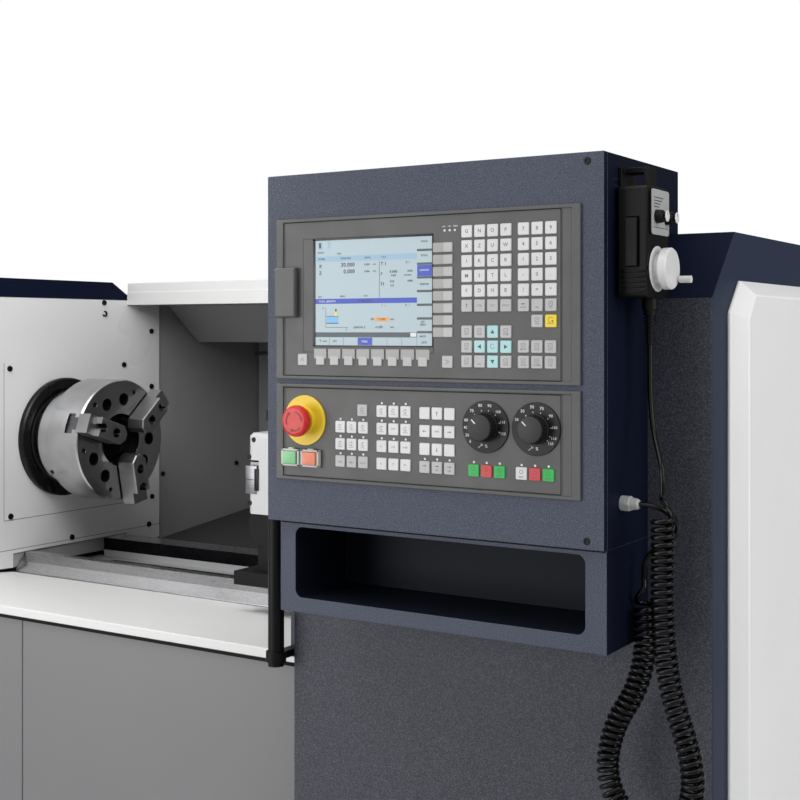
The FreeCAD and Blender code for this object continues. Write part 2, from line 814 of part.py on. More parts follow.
nose_back = d.casting_right + d.slide_gap
spindle_tail = d.casting_left - d.motor_length
chuck_seat = d.chuck_back
turned(
    "spindle",
    [
        (spindle_tail, d.spindle_bore / 2),
        (spindle_tail, d.journal_dia / 2 - 20),
        (d.casting_left, d.journal_dia / 2 - 20),
        (d.casting_left, d.journal_dia / 2),
        (nose_back, d.journal_dia / 2),
        (nose_back, d.nose_dia / 2),
        (chuck_seat, d.nose_dia / 2),
        (chuck_seat, d.spindle_bore / 2),
    ],
    (d.nil, d.spindle_y, d.spindle_z),
)
turned(
    "spindle_motor",
    [
        (spindle_tail, d.journal_dia / 2 - 20 + d.run_gap),
        (spindle_tail, d.motor_dia / 2),
        (d.casting_left, d.motor_dia / 2),
        (d.casting_left, d.journal_dia / 2 - 20 + d.run_gap),
    ],
    (d.nil, d.spindle_y, d.spindle_z),
)
turned(
    "bearing_ring",
    [
        (d.wall_x, d.ring_bore / 2),
        (d.wall_x, d.ring_dia / 2),
        (d.wall_x + d.ring_thick - 3, d.ring_dia / 2),
        (d.wall_x + d.ring_thick, d.ring_dia / 2 - 3),
        (d.wall_x + d.ring_thick, d.ring_bore / 2),
    ],
    (d.nil, d.spindle_y, d.spindle_z),
)


def hood_points(inset, top_z, top_back):
    """Front, chamfer and top of the guards, moved inwards by inset."""
    lean = math.tan(math.radians(22.5))
    front = d.hood_front + inset
    corner_low = d.hood_corner_z - size(inset) * lean
    corner_high = d.hood_front + d.hood_chamfer + size(inset) * lean
    return [(front, corner_low), (corner_high, top_z - inset), (top_back, top_z - inset)]


hood_top = d.hood_corner_z + d.hood_chamfer
cap_drop = hood_top - d.cap_top


def cap_outline(inset):
    """Section of the headstock cover, moved inwards by inset."""
    front = d.hood_front + inset
    lean = math.tan(math.radians(22.5))
    return [
        (front, guard_bottom + (inset if float(inset) else 0)),
        (front, d.hood_corner_z - cap_drop - size(inset) * lean),
        (d.hood_front + d.hood_chamfer + size(inset) * lean, d.cap_top - inset),
        (d.cap_break_y, d.cap_top - inset),
        (d.cap_break_y + 65, d.rear_top - inset),
        (d.rear_y - inset, d.rear_top - inset),
        (d.rear_y - inset, guard_bottom + (inset if float(inset) else 0)),
    ]


wall_back = d.wall_x - d.sheet
cover_right = wall_back
headstock_cover = prism(
    "headstock_cover",
    "YZ_Plane",
    cap_outline(0),
    -d.half_length,
    cover_right + d.half_length,
)
pocket(
    headstock_cover,
    "YZ_Plane",
    [
        [(y, z - d.sheet * 2) if i in (0, 6) else (y, z) for i, (y, z) in enumerate(cap_outline(d.sheet))]
    ],
    -d.half_length + d.sheet,
    cover_right + d.half_length - d.sheet * 2,
)
pocket(
    headstock_cover,
    "YZ_Plane",
    [rectangle(d.base_front - 1, d.rear_y - d.sheet, plinth_top - 1, d.bed_top + 12)],
    cover_right - d.sheet,
    d.sheet,
)
pocket(
    headstock_cover,
    "YZ_Plane",
    [rectangle(d.base_front - 1, d.base_front + d.sill_sheet + 1, d.bed_top, d.skirt_top + 1)],
    cover_right - d.sheet,
    d.sheet,
)
pocket(
    headstock_cover,
    "YZ_Plane",
    [rectangle(d.plinth_front, d.rear_y - d.sheet, guard_bottom - 1, plinth_top)],
    cover_right - d.sheet,
    d.sheet,
)
bore(
    headstock_cover,
    "YZ_Plane",
    [(d.spindle_y, d.spindle_z, d.ring_bore)],
    cover_right - d.sheet,
    d.sheet,
)
bore(headstock_cover, "YZ_Plane", [(d.spindle_y, d.spindle_z, d.bar_opening)], -d.half_length, d.sheet)
side_plate = prism(
    "side_plate",
    "YZ_Plane",
    [
        (d.sill_front + 46, d.bed_top + 49),
        (d.sill_front + 46, d.rear_top - 3),
        (d.spindle_y + 304, d.rear_top - 3),
        (d.spindle_y + 304, d.bed_top + 20),
        (d.bed_back - 8, d.bed_top + 5),
        (d.bed_back - 8, d.way_top + 1),
        (d.front_way_y - d.front_way_half - 4, d.way_top + 1),
        (d.front_way_y - d.front_way_half - 4, d.bed_top + 12),
        (d.sill_break_y, d.sill_break_z + 1),
    ],
    wall_back,
    d.sheet,
)
bore(side_plate, "YZ_Plane", [(d.spindle_y, d.spindle_z, d.ring_bore)], wall_back, d.sheet)

# ---------------------------------------------------------------- chuck

chuck = turned(
    "chuck_body",
    [
        (-(d.chuck_face - d.chuck_back), d.spindle_bore / 2),
        (-(d.chuck_face - d.chuck_back), d.chuck_flange_dia / 2 - 2),
        (-(d.chuck_face - d.chuck_back) + 2, d.chuck_flange_dia / 2),
        (-d.chuck_body_length - 4, d.chuck_flange_dia / 2),
        (-d.chuck_body_length, d.chuck_dia / 2 - 4),
        (-d.chuck_body_length, d.chuck_dia / 2),
        (d.nil - 3, d.chuck_dia / 2),
        (d.nil, d.chuck_dia / 2 - 3),
        (d.nil, d.centre_hole_dia / 2),
        (-d.centre_hole_depth, d.centre_hole_dia / 2),
        (-d.centre_hole_depth, d.spindle_bore / 2),
    ],
    (d.chuck_face, d.spindle_y, d.spindle_z),
    Rotation(Vector(1, 0, 0), float(d.first_jaw_angle)),
)
slot_end = d.chuck_dia / 2 + 2
neck = pocket(
    chuck,
    "YZ_Plane",
    [rectangle(d.slot_inner, slot_end, -d.slot_width / 2, d.slot_width / 2)],
    -d.slot_depth,
    d.slot_depth + 1,
)
slot_foot = pocket(
    chuck,
    "YZ_Plane",
    [rectangle(d.slot_inner, slot_end, -d.slot_foot / 2, d.slot_foot / 2)],
    -d.slot_depth,
    d.slot_depth - d.slot_neck_depth,
)
repeat_round(chuck, [neck, slot_foot], 3)
pair = math.radians(float(d.bolt_pair_angle))
pair_across = d.bolt_circle / 2 * -math.cos(pair)
pair_up = d.bolt_circle / 2 * math.sin(pair)
counterbores = bore(
    chuck,
    "YZ_Plane",
    [(pair_across, pair_up, d.bolt_hole_dia), (pair_across, -pair_up, d.bolt_hole_dia)],
    -d.bolt_hole_depth,
    d.bolt_hole_depth + 1,
)
repeat_round(chuck, [counterbores], 3)
tap = math.radians(27)
taps = bore(
    chuck,
    "YZ_Plane",
    [
        (d.tap_circle / 2 * math.cos(tap), d.tap_circle / 2 * math.sin(tap), d.tap_hole_dia),
        (d.tap_circle / 2 * math.cos(tap), d.tap_circle / 2 * -math.sin(tap), d.tap_hole_dia),
    ],
    d.nil - 14,
    size(15),
)
repeat_round(chuck, [taps], 3)


def toothed(start, end, low, high, count):
    """A saw-toothed line from start to end that goes between low and high."""
    points = []
    pitch = (end - start) / count
    for index in range(count):
        points.append((start + pitch * index, low))
        points.append((start + pitch * (index + 0.5), high))
    return points


tooth_count = int(float(d.master_length) / float(d.tooth_pitch))
master_end = d.master_inner + d.master_length
neck_half = d.slot_width / 2 - d.jaw_gap
foot_half = d.slot_foot / 2 - d.jaw_gap
jaw_seat = d.serration_stand
jaw_end = d.jaw_inner + d.jaw_length
jaw_screws = [d.master_inner + 18, d.master_inner + 18 + d.jaw_screw_pitch]


def chuck_placement(body, turn_angle):
    place(
        body,
        (d.chuck_face, d.spindle_y, d.spindle_z),
        Rotation(Vector(1, 0, 0), float(d.first_jaw_angle) + turn_angle),
    )


def master_jaw(label, turn_angle):
    """A master jaw: a T that fills the slot, with a serrated pad in front of the chuck face."""
    body = new_body(label)
    chuck_placement(body, turn_angle)
    pad(
        body,
        "YZ_Plane",
        [rectangle(d.master_inner, master_end, -foot_half, foot_half)],
        -d.slot_depth + d.jaw_gap,
        d.slot_depth - d.slot_neck_depth - d.jaw_gap * 2,
    )
    pad(
        body,
        "YZ_Plane",
        [rectangle(d.master_inner, master_end, -neck_half, neck_half)],
        -d.slot_neck_depth - d.jaw_gap,
        d.slot_neck_depth + d.jaw_gap + jaw_seat - d.tooth_depth,
    )
    crest = toothed(d.master_inner, master_end, jaw_seat - d.tooth_depth, jaw_seat, tooth_count)
    sketch = sketch_on(body, "XY_Plane", -neck_half)
    outline = [(up, across) for across, up in crest]
    outline += [(jaw_seat - d.tooth_depth, master_end), (d.nil - 1, master_end), (d.nil - 1, d.master_inner)]
    draw_outline(sketch, outline)
    extrude(body, "Pad", sketch, "XY_Plane", neck_half * 2)
    return body


def top_jaw(label, turn_angle):
    """A hard top jaw: a block with a bevelled gripping nose and two counterbored screw holes."""
    body = new_body(label)
    chuck_placement(body, turn_angle)
    half = d.jaw_width / 2
    front = jaw_seat + d.jaw_height
    pad(
        body,
        "YZ_Plane",
        [
            [
                (d.jaw_inner, -half / 3),
                (d.jaw_inner, half / 3),
                (d.jaw_inner + half * 2 / 3, half),
                (jaw_end, half),
                (jaw_end, -half),
                (d.jaw_inner + half * 2 / 3, -half),
            ]
        ],
        jaw_seat,
        d.jaw_height,
    )
    dress(body, "Chamfer", d.jaw_bevel, lambda centre, box: box.XMin > float(front) - 0.01)
    pocket(
        body,
        "YZ_Plane",
        [rectangle(jaw_end - 24, jaw_end + 1, -half - 1, half + 1)],
        front - 12,
        size(13),
    )
    bore(
        body,
        "YZ_Plane",
        [(across, d.nil, d.jaw_screw_dia) for across in jaw_screws],
        jaw_seat + 10,
        d.jaw_height,
    )
    boss(
        body,
        "YZ_Plane",
        [(across, d.nil, d.jaw_screw_dia - 2) for across in jaw_screws],
        jaw_seat + 8,
        size(14),
    )
    return body


for number, turn_angle in enumerate((0, 120, 240), 1):
    master_jaw("master_jaw_%d" % number, turn_angle)
    top_jaw("top_jaw_%d" % number, turn_angle)

# ---------------------------------------------------------------- carriage

saddle_bottom = d.way_top + d.slide_gap
guide_front = d.front_way_y + d.way_crown + d.slide_gap
guide_back = d.rear_way_y - d.rear_way_half - d.slide_gap
nut_half = d.screw_dia / 2 + 12
saddle = prism(
    "saddle",
    "YZ_Plane",
    [
        (d.bed_front - 10, saddle_bottom),
        (d.bed_front - 10, d.saddle_top),
        (d.bed_back - 5, d.saddle_top),
        (d.bed_back - 5, saddle_bottom),
        (guide_back, saddle_bottom),
        (guide_back, d.way_top - 17),
        (d.screw_y + nut_half, d.way_top - 17),
        (d.screw_y + nut_half, d.screw_z - nut_half),
        (d.screw_y - nut_half, d.screw_z - nut_half),
        (d.screw_y - nut_half, d.way_top - 17),
        (guide_front, d.way_top - 17),
        (guide_front, saddle_bottom),
    ],
    d.saddle_x,
    d.saddle_length,
)
bore(
    saddle,
    "YZ_Plane",
    [(d.screw_y, d.screw_z, d.screw_dia + d.run_gap * 2)],
    d.saddle_x,
    d.saddle_length,
)
# side gibs of the cross slide stand on the saddle
gib = 14
for start in (d.cross_x - gib - d.slide_gap, d.cross_x + d.cross_width + d.slide_gap):
    pad(
        saddle,
        "XZ_Plane",
        [rectangle(start, start + gib, d.saddle_top, d.cross_top - 6)],
        d.bed_front - 10,
        d.bed_back - d.bed_front + 5,
    )

cross = prism(
    "cross_slide",
    "XY_Plane",
    rectangle(d.cross_x, d.cross_x + d.cross_width, d.cross_front, d.cross_back),
    d.saddle_top + d.slide_gap,
    d.cross_top - d.saddle_top - d.slide_gap,
)
turret_middle_x = d.turret_x + d.turret_size / 2
turret_middle_y = d.turret_front + d.turret_size / 2
foot_side = d.turret_size * 0.8
neck_z = d.turret_bottom - 36
pad(
    cross,
    "XY_Plane",
    [
        rectangle(
            turret_middle_x - foot_side / 2,
            turret_middle_x + foot_side / 2,
            turret_middle_y - foot_side / 2,
            turret_middle_y + foot_side / 2,
        )
    ],
    d.cross_top,
    neck_z - d.cross_top,
)
# the upper part of the turret's base flares out to the head
pad(
    cross,
    "XZ_Plane",
    [
        [
            (turret_middle_x - foot_side / 2, neck_z - 20),
            (turret_middle_x + foot_side / 2, neck_z - 20),
            (turret_middle_x + d.turret_size / 2, neck_z),
            (turret_middle_x + d.turret_size / 2, d.turret_bottom - 10),
            (turret_middle_x + d.turret_size / 2 - 10, d.turret_bottom - d.slide_gap),
            (turret_middle_x - d.turret_size / 2 + 10, d.turret_bottom - d.slide_gap),
            (turret_middle_x - d.turret_size / 2, d.turret_bottom - 10),
            (turret_middle_x - d.turret_size / 2, neck_z),
        ]
    ],
    turret_middle_y - foot_side / 2 - 5,
    foot_side + 10,
)

slot_floor = d.spindle_z - d.tool_shank
turret = prism(
    "turret_head",
    "XY_Plane",
    [
        (d.turret_x + 12, d.turret_front),
        (d.turret_x + d.turret_size - 12, d.turret_front),
        (d.turret_x + d.turret_size, d.turret_front + 12),
        (d.turret_x + d.turret_size, d.turret_front + d.turret_size - 12),
        (d.turret_x + d.turret_size - 12, d.turret_front + d.turret_size),
        (d.turret_x + 12, d.turret_front + d.turret_size),
        (d.turret_x, d.turret_front + d.turret_size - 12),
        (d.turret_x, d.turret_front + 12),
    ],
    d.turret_bottom,
    d.turret_top - d.turret_bottom,
)
dress(turret, "Chamfer", 6, lambda centre, box: box.ZMin > float(d.turret_top) - 0.01)
slot_reach = d.tool_shank + 4
slot_sides = [
    rectangle(
        d.turret_x - 1,
        d.turret_x + slot_reach,
        d.turret_front - 1,
        d.turret_front + d.turret_size + 1,
    ),
    rectangle(
        d.turret_x + d.turret_size - slot_reach,
        d.turret_x + d.turret_size + 1,
        d.turret_front - 1,
        d.turret_front + d.turret_size + 1,
    ),
]
for outline in slot_sides:
    pocket(turret, "XY_Plane", [outline], slot_floor, d.tool_shank + 4)
boss(turret, "XY_Plane", [(turret_middle_x, turret_middle_y, 54)], d.turret_top, size(12))

tool_x = d.turret_x + slot_reach - d.tool_shank
tool = prism(
    "cutting_tool",
    "YZ_Plane",
    [
        (d.turret_front + 8, slot_floor),
        (d.turret_front + 8, d.spindle_z),
        (d.tool_tip, d.spindle_z),
        (d.tool_tip - 3, slot_floor + 8),
        (d.tool_tip - 10, slot_floor),
    ],
    tool_x,
    d.tool_shank,
)
pocket(
    tool,
    "XY_Plane",
    [
        [
            (tool_x + 10, d.tool_tip + 1),
            (tool_x + d.tool_shank + 1, d.tool_tip + 1),
            (tool_x + d.tool_shank + 1, d.tool_tip - 22),
        ]
    ],
    slot_floor - 1,
    d.tool_shank + 2,
)

# ---------------------------------------------------------------- tailstock

tail_end = d.tail_x + d.tail_length
tailstock = prism(
    "tailstock_body",
    "YZ_Plane",
    [
        (d.bed_front - 10, saddle_bottom),
        (d.bed_front - 10, d.saddle_top),
        (d.spindle_y - d.tail_half, d.saddle_top + 60),
        (d.spindle_y - d.tail_half, d.spindle_z + 20),
        (d.spindle_y - d.tail_half / 2, d.spindle_z + d.tail_half),
        (d.spindle_y + d.tail_half / 2, d.spindle_z + d.tail_half),
        (d.spindle_y + d.tail_half, d.spindle_z + 20),
        (d.spindle_y + d.tail_half, d.saddle_top + 60),
        (d.bed_back - 5, d.saddle_top),
        (d.bed_back - 5, saddle_bottom),
        (guide_back, saddle_bottom),
        (guide_back, d.way_top - 17),
        (guide_front, d.way_top - 17),
        (guide_front, saddle_bottom),
    ],
    d.tail_x,
    d.tail_length,
)
bore(
    tailstock,
    "YZ_Plane",
    [(d.spindle_y, d.spindle_z, d.quill_dia + d.run_gap * 2)],
    d.tail_x,
    d.tail_length,
)
quill_back = d.tail_length - 30
turned(
    "quill",
    [
        (-d.quill_out - 60, d.nil),
        (-d.quill_out - 34, d.quill_dia / 5),
        (-d.quill_out - 34, d.quill_dia / 4),
        (-d.quill_out, d.quill_dia / 4),
        (-d.quill_out, d.quill_dia / 2 - 3),
        (-d.quill_out + 3, d.quill_dia / 2),
        (quill_back, d.quill_dia / 2),
        (quill_back, d.nil),
    ],
    (d.tail_x, d.spindle_y, d.spindle_z),
)
rim = 18
wheel_half = d.tail_wheel_dia / 2
tail_wheel = turned(
    "tailstock_wheel",
    [
        (d.slide_gap, d.nil),
        (d.slide_gap, d.quill_dia / 2),
        (size(12), d.quill_dia / 2),
        (size(12), wheel_half - rim),
        (size(8), wheel_half - rim),
        (size(8), wheel_half - 4),
        (size(12), wheel_half),
        (size(24), wheel_half),
        (size(28), wheel_half - 4),
        (size(28), wheel_half - rim),
        (size(20), wheel_half - rim),
        (size(20), d.quill_dia / 2),
        (size(34), d.quill_dia / 2 - 6),
        (size(34), d.nil),
    ],
    (tail_end, d.spindle_y, d.spindle_z),
)
spoke_gap = bore(
    tail_wheel,
    "YZ_Plane",
    [((wheel_half - rim + d.quill_dia / 2) / 2, d.nil, wheel_half - rim - d.quill_dia / 2 - 8)],
    d.nil,
    size(40),
)
repeat_round(tail_wheel, [spoke_gap], 5)
boss(tail_wheel, "YZ_Plane", [(wheel_half - rim / 2, d.nil, 9)], 26, size(16))
boss(tail_wheel, "YZ_Plane", [(wheel_half - rim / 2, d.nil, 17)], 38, size(44))

# ---------------------------------------------------------------- guards

guard_inner = d.guard_right - d.sheet


def band(inset, thickness, bottom, top_back):
    """Section of a folded sheet that follows the guard's form, thickness deep from inset inwards."""
    outside = hood_points(inset, hood_top, top_back)
    inside = hood_points(size(inset) + thickness, hood_top, top_back)
    return [(outside[0][0], bottom)] + outside + list(reversed(inside)) + [(inside[0][0], bottom)]


front_guard = prism(
    "front_guard",
    "YZ_Plane",
    band(0, d.sheet, guard_bottom, d.beam_front + d.beam_depth),
    d.guard_left,
    guard_inner - d.guard_left,
)
end_wall = [(d.hood_front, guard_bottom)] + hood_points(0, hood_top, d.beam_front + d.beam_depth)
end_wall += [
    (d.beam_front + d.beam_depth, d.rear_top),
    (d.rear_y, d.rear_top),
    (d.rear_y, guard_bottom),
]
pad(front_guard, "YZ_Plane", [end_wall], guard_inner, d.sheet)

end_cover = prism(
    "end_cover",
    "YZ_Plane",
    [
        (d.end_left, d.end_bottom),
        (d.end_left, d.end_corner_z),
        (d.end_left + d.end_top - d.end_corner_z, d.end_top),
        (d.end_back, d.end_top),
        (d.end_back, d.end_bottom),
    ],
    d.guard_right,
    d.half_length - d.guard_right,
)
dress(end_cover, "Chamfer", d.end_bevel, lambda centre, box: box.XMin > float(d.half_length) - 0.01)
end_inset = d.end_bevel + d.sheet
pocket(
    end_cover,
    "YZ_Plane",
    [
        [
            (d.end_left + end_inset, d.end_bottom + end_inset),
            (d.end_left + end_inset, d.end_corner_z - end_inset),
            (d.end_left + end_inset + d.end_top - d.end_corner_z, d.end_top - end_inset),
            (d.end_back - end_inset, d.end_top - end_inset),
            (d.end_back - end_inset, d.end_bottom + end_inset),
        ]
    ],
    d.guard_right - 1,
    d.half_length - d.guard_right - d.sheet + 1,
)

rear_guard = new_body("rear_guard")
pad(
    rear_guard,
    "YZ_Plane",
    [
        [
            (d.beam_front + d.beam_depth, d.rear_top),
            (d.beam_front + d.beam_depth, d.beam_bottom),
            (d.ceiling_break_y, d.beam_bottom),
            (d.ceiling_low_y, d.ceiling_low_z),
            (d.back_wall_y, d.ceiling_low_z),
            (d.back_wall_y, d.floor_back_z),
            (d.bed_back - 8, d.bed_top + d.sheet),
            (d.bed_back - 8, d.bed_top),
            (d.bed_back, d.bed_top),
            (d.back_wall_y, d.floor_back_z - d.sheet),
            (d.back_wall_y, plinth_top),
            (d.rear_y, plinth_top),
            (d.rear_y, d.rear_top),
        ],
        [
            (d.beam_front + d.beam_depth + d.sheet, d.rear_top - d.sheet),
            (d.beam_front + d.beam_depth + d.sheet, d.beam_bottom + d.sheet),
            (d.ceiling_break_y + 1, d.beam_bottom + d.sheet),
            (d.ceiling_low_y + 1, d.ceiling_low_z + d.sheet),
            (d.back_wall_y + d.sheet, d.ceiling_low_z + d.sheet),
            (d.back_wall_y + d.sheet, plinth_top + d.sheet),
            (d.rear_y - d.sheet, plinth_top + d.sheet),
            (d.rear_y - d.sheet, d.rear_top - d.sheet),
        ],
    ],
    d.wall_x,
    guard_inner - d.wall_x,
)
beam_back = d.beam_front + d.beam_depth
crease = (d.beam_bottom + d.beam_top) / 2 + 4.5
prism(
    "top_beam",
    "YZ_Plane",
    [
        (d.beam_front, d.beam_bottom),
        (d.beam_front, crease - 1),
        (d.beam_front + d.beam_step, crease + 1),
        (d.beam_front + d.beam_step, d.beam_top),
        (beam_back, d.beam_top),
        (beam_back, d.beam_top - d.sheet),
        (d.beam_front + d.beam_step + d.sheet, d.beam_top - d.sheet),
        (d.beam_front + d.beam_step + d.sheet, crease),
        (d.beam_front + d.sheet, crease - 2),
        (d.beam_front + d.sheet, d.beam_bottom + d.sheet),
        (beam_back, d.beam_bottom + d.sheet),
        (beam_back, d.beam_bottom),
    ],
    d.wall_x,
    guard_inner - d.wall_x,
)

# ---------------------------------------------------------------- hood leaves


def hood_leaf(label, left, inset):
    """A sliding hood leaf with its window opening, whose roof runs along the top beam."""
    leaf = prism(
        label,
        "YZ_Plane",
        band(inset, d.leaf_sheet, d.leaf_bottom, d.beam_front + d.beam_step - d.slide_gap),
        left,
        d.leaf_width,
    )
    front = d.hood_front + inset
    pocket(
        leaf,
        "XZ_Plane",
        [
            rectangle(
                left + d.window_left,
                left + d.leaf_width - d.window_right,
                d.window_bottom,
                d.window_top,
            )
        ],
        front - 1,
        d.leaf_sheet + 2,
    )
    return leaf


def window_pane(label, left, inset):
    """A clear pane behind the leaf's window."""
    return prism(
        label,
        "XZ_Plane",
        rectangle(
            left + d.window_left - d.window_lap,
            left + d.leaf_width - d.window_right + d.window_lap,
            d.window_bottom - d.window_lap,
            d.window_top + d.window_lap,
        ),
        d.hood_front + inset + d.leaf_sheet,
        d.pane,
    )


rear_leaf_left = d.leaf_left + d.leaf_step
front_leaf = hood_leaf("hood_leaf_front", d.leaf_left, d.front_leaf_inset)
leaf_inside = d.hood_front + d.front_leaf_inset + d.leaf_sheet
# the runner on which the front leaf slides along the sill
pad(
    front_leaf,
    "YZ_Plane",
    [
        rectangle(
            leaf_inside - 1,
            d.sill_front + d.runner_depth,
            d.sill_top + d.slide_gap,
            d.sill_top + d.slide_gap + d.sheet,
        )
    ],
    d.leaf_left,
    d.leaf_width,
)
window_pane("window_front", d.leaf_left, d.front_leaf_inset)
hood_leaf("hood_leaf_rear", rear_leaf_left, d.rear_leaf_inset)
window_pane("window_rear", rear_leaf_left, d.rear_leaf_inset)

handle_x = d.leaf_left + d.handle_in
leaf_face = d.hood_front + d.front_leaf_inset
handle = new_body("door_handle")
handle_length = d.handle_top - d.handle_bottom
boss(handle, "XY_Plane", [(handle_x, d.handle_y, d.handle_dia)], d.handle_bottom, handle_length)
for height in (d.handle_bottom + 6, d.handle_top - 20):
    boss(handle, "XY_Plane", [(handle_x, d.handle_y, d.handle_dia + 6)], height, size(14))
    pad(
        handle,
        "XZ_Plane",
        [rectangle(handle_x - 7, handle_x + 7, height + 2, height + 12)],
        d.handle_y,
        leaf_face - d.handle_y,
    )

# ---------------------------------------------------------------- control cabinet

cabinet_width = d.cabinet_right - d.cabinet_left
shell = prism(
    "cabinet_shell",
    "YZ_Plane",
    [
        (d.cabinet_front, d.cabinet_bottom),
        (d.cabinet_front, d.cabinet_top),
        (d.cabinet_back, d.cabinet_top),
        (d.cabinet_back, hood_top),
        (d.hood_front + d.hood_chamfer, hood_top),
        (d.hood_front, d.hood_corner_z),
        (d.hood_front, d.cabinet_bottom),
    ],
    d.cabinet_left,
    cabinet_width,
)
bend = d.sheet * math.tan(math.radians(22.5))
pocket(
    shell,
    "YZ_Plane",
    [
        [
            (d.cabinet_front - 1, d.cabinet_bottom + d.sheet),
            (d.cabinet_front - 1, d.cabinet_top - d.sheet),
            (d.cabinet_back - d.sheet, d.cabinet_top - d.sheet),
            (d.cabinet_back - d.sheet, hood_top + d.sheet),
            (d.hood_front + d.hood_chamfer - bend, hood_top + d.sheet),
            (d.hood_front - d.sheet, d.hood_corner_z + bend),
            (d.hood_front - d.sheet, d.cabinet_bottom + d.sheet),
        ]
    ],
    d.cabinet_left + d.sheet,
    cabinet_width - d.sheet * 2,
)
pocket_box = prism(
    "pocket_box",
    "XZ_Plane",
    rectangle(d.pocket_left, d.cabinet_right, d.pocket_bottom, d.cabinet_bottom),
    d.pocket_front,
    d.hood_front - d.pocket_front,
)
mouth_left = d.pocket_left + d.pocket_side
mouth_right = d.cabinet_right - d.pocket_side - 2
mouth_bottom = d.pocket_bottom + d.pocket_sill
mouth_top = d.cabinet_bottom - d.pocket_head
pocket(
    pocket_box,
    "XZ_Plane",
    [rectangle(mouth_left, mouth_right, mouth_bottom, mouth_top)],
    d.pocket_front - 1,
    d.pocket_back - d.pocket_front + 1,
)
dress(
    pocket_box,
    "Fillet",
    d.pocket_radius,
    lambda centre, box: box.YLength > 50
    and float(mouth_left) - 1 < centre.x < float(mouth_right) + 1
    and float(mouth_bottom) - 1 < centre.z < float(mouth_top) + 1,
)

door_front = d.cabinet_front - d.door_depth
door_gap = d.slide_gap * 2
door = prism(
    "cabinet_door",
    "XZ_Plane",
    rectangle(d.cabinet_left, d.cabinet_right, d.cabinet_bottom + door_gap, d.cabinet_top),
    door_front,
    d.door_depth - d.slide_gap,
)
pocket(
    door,
    "XZ_Plane",
    [
        rectangle(
            d.cabinet_left + d.door_sheet,
            d.cabinet_right - d.door_sheet,
            d.cabinet_bottom + d.door_sheet,
            d.cabinet_top - d.door_sheet,
        )
    ],
    door_front + d.door_sheet,
    d.door_depth,
)
cut_gap = 1
for bottom, top in ((d.upper_bottom, d.upper_top), (d.lower_bottom, d.lower_top)):
    pocket(
        door,
        "XZ_Plane",
        [
            rectangle(
                d.panel_left + d.panel_rim - cut_gap,
                d.panel_right - d.panel_rim + cut_gap,
                bottom + d.panel_rim - cut_gap,
                top - d.panel_rim + cut_gap,
            )
        ],
        door_front - 1,
        d.door_sheet + 2,
    )

panel_face = door_front - d.panel_stand
field = panel_face + d.field_depth


def panel(label, bottom, top):
    """A panel: front plate with an inset field, and its housing through the door."""
    body = prism(
        label,
        "XZ_Plane",
        rectangle(d.panel_left, d.panel_right, bottom, top),
        panel_face,
        d.panel_stand,
    )
    pad(
        body,
        "XZ_Plane",
        [
            rectangle(
                d.panel_left + d.panel_rim,
                d.panel_right - d.panel_rim,
                bottom + d.panel_rim,
                top - d.panel_rim,
            )
        ],
        door_front,
        d.panel_depth,
    )
    pocket(
        body,
        "XZ_Plane",
        [
            rectangle(
                d.panel_left + d.panel_rim - 2,
                d.panel_right - d.panel_rim + 2,
                bottom + d.field_rim,
                top - d.field_rim,
            )
        ],
        panel_face - 1,
        d.field_depth + 1,
    )
    return body


operator_panel = panel("operator_panel", d.upper_bottom, d.upper_top)
pocket(
    operator_panel,
    "XZ_Plane",
    [rectangle(d.screen_left, d.screen_right, d.screen_bottom, d.screen_top)],
    panel_face,
    d.field_depth + d.screen_thick,
)
prism(
    "screen",
    "XZ_Plane",
    rectangle(d.screen_left, d.screen_right, d.screen_bottom, d.screen_top),
    field,
    d.screen_thick,
)
machine_panel = panel("machine_panel", d.lower_bottom, d.lower_top)


def key_grid(corner, across, up, columns, rows, pitch_across, pitch_up):
    """Middles of a block of keys, counted from a panel's lower left corner."""
    left, low = [float(v) for v in corner]
    return [
        (left + across + column * pitch_across, low + up + row * pitch_up)
        for column in range(columns)
        for row in range(rows)
    ]


def keypad(middles, areas):
    """A foil over the given areas with its embossed keys, as one solid per area."""
    half = float(d.key_size) / 2
    foil_front = float(field) - float(d.foil)
    solids = []
    for area in areas:
        left, right, bottom, top = [float(v) for v in area]
        foil_part = block((left, foil_front, bottom), (right, float(field), top))
        keys = [
            block(
                (x - half, foil_front - float(d.key_rise), z - half),
                (x + half, foil_front, z + half),
            )
            for x, z in middles
            if left < x < right and bottom < z < top
        ]
        solids.append(foil_part.multiFuse(keys))
    return solids


upper_corner = (d.panel_left, d.upper_bottom)
lower_corner = (d.panel_left, d.lower_bottom)
operator_keys = (
    key_grid(upper_corner, 244, 39, 1, 8, 17, 16.6)  # beside the screen
    + key_grid(upper_corner, 68, 21, 8, 1, 21, 17)  # under the screen
    + key_grid(upper_corner, 45, 21, 1, 1, 17, 17)
    + key_grid(upper_corner, 244, 21, 1, 1, 17, 17)
    + key_grid(upper_corner, 276, 90, 4, 6, 16.8, 17.6)  # letters
    + key_grid(upper_corner, 350, 90, 3, 6, 16.8, 17.6)  # numbers
    + key_grid(upper_corner, 367, 69, 2, 1, 16.8, 17)
    + key_grid(upper_corner, 276, 26, 4, 3, 16.8, 16.8)  # cursor block
    + key_grid(upper_corner, 350, 26, 3, 2, 16.8, 16.8)
)
machine_keys = (
    key_grid(lower_corner, 99, 27, 3, 3, 17.2, 19.5)
    + key_grid(lower_corner, 131, 91, 1, 1, 17.2, 19.5)
    + key_grid(lower_corner, 159, 27, 3, 4, 17.2, 21.5)
    + key_grid(lower_corner, 218, 27, 3, 4, 17.2, 21.5)
    + key_grid(lower_corner, 283, 27, 3, 1, 19, 17)
    + key_grid(lower_corner, 344, 27, 3, 1, 19, 17)
)
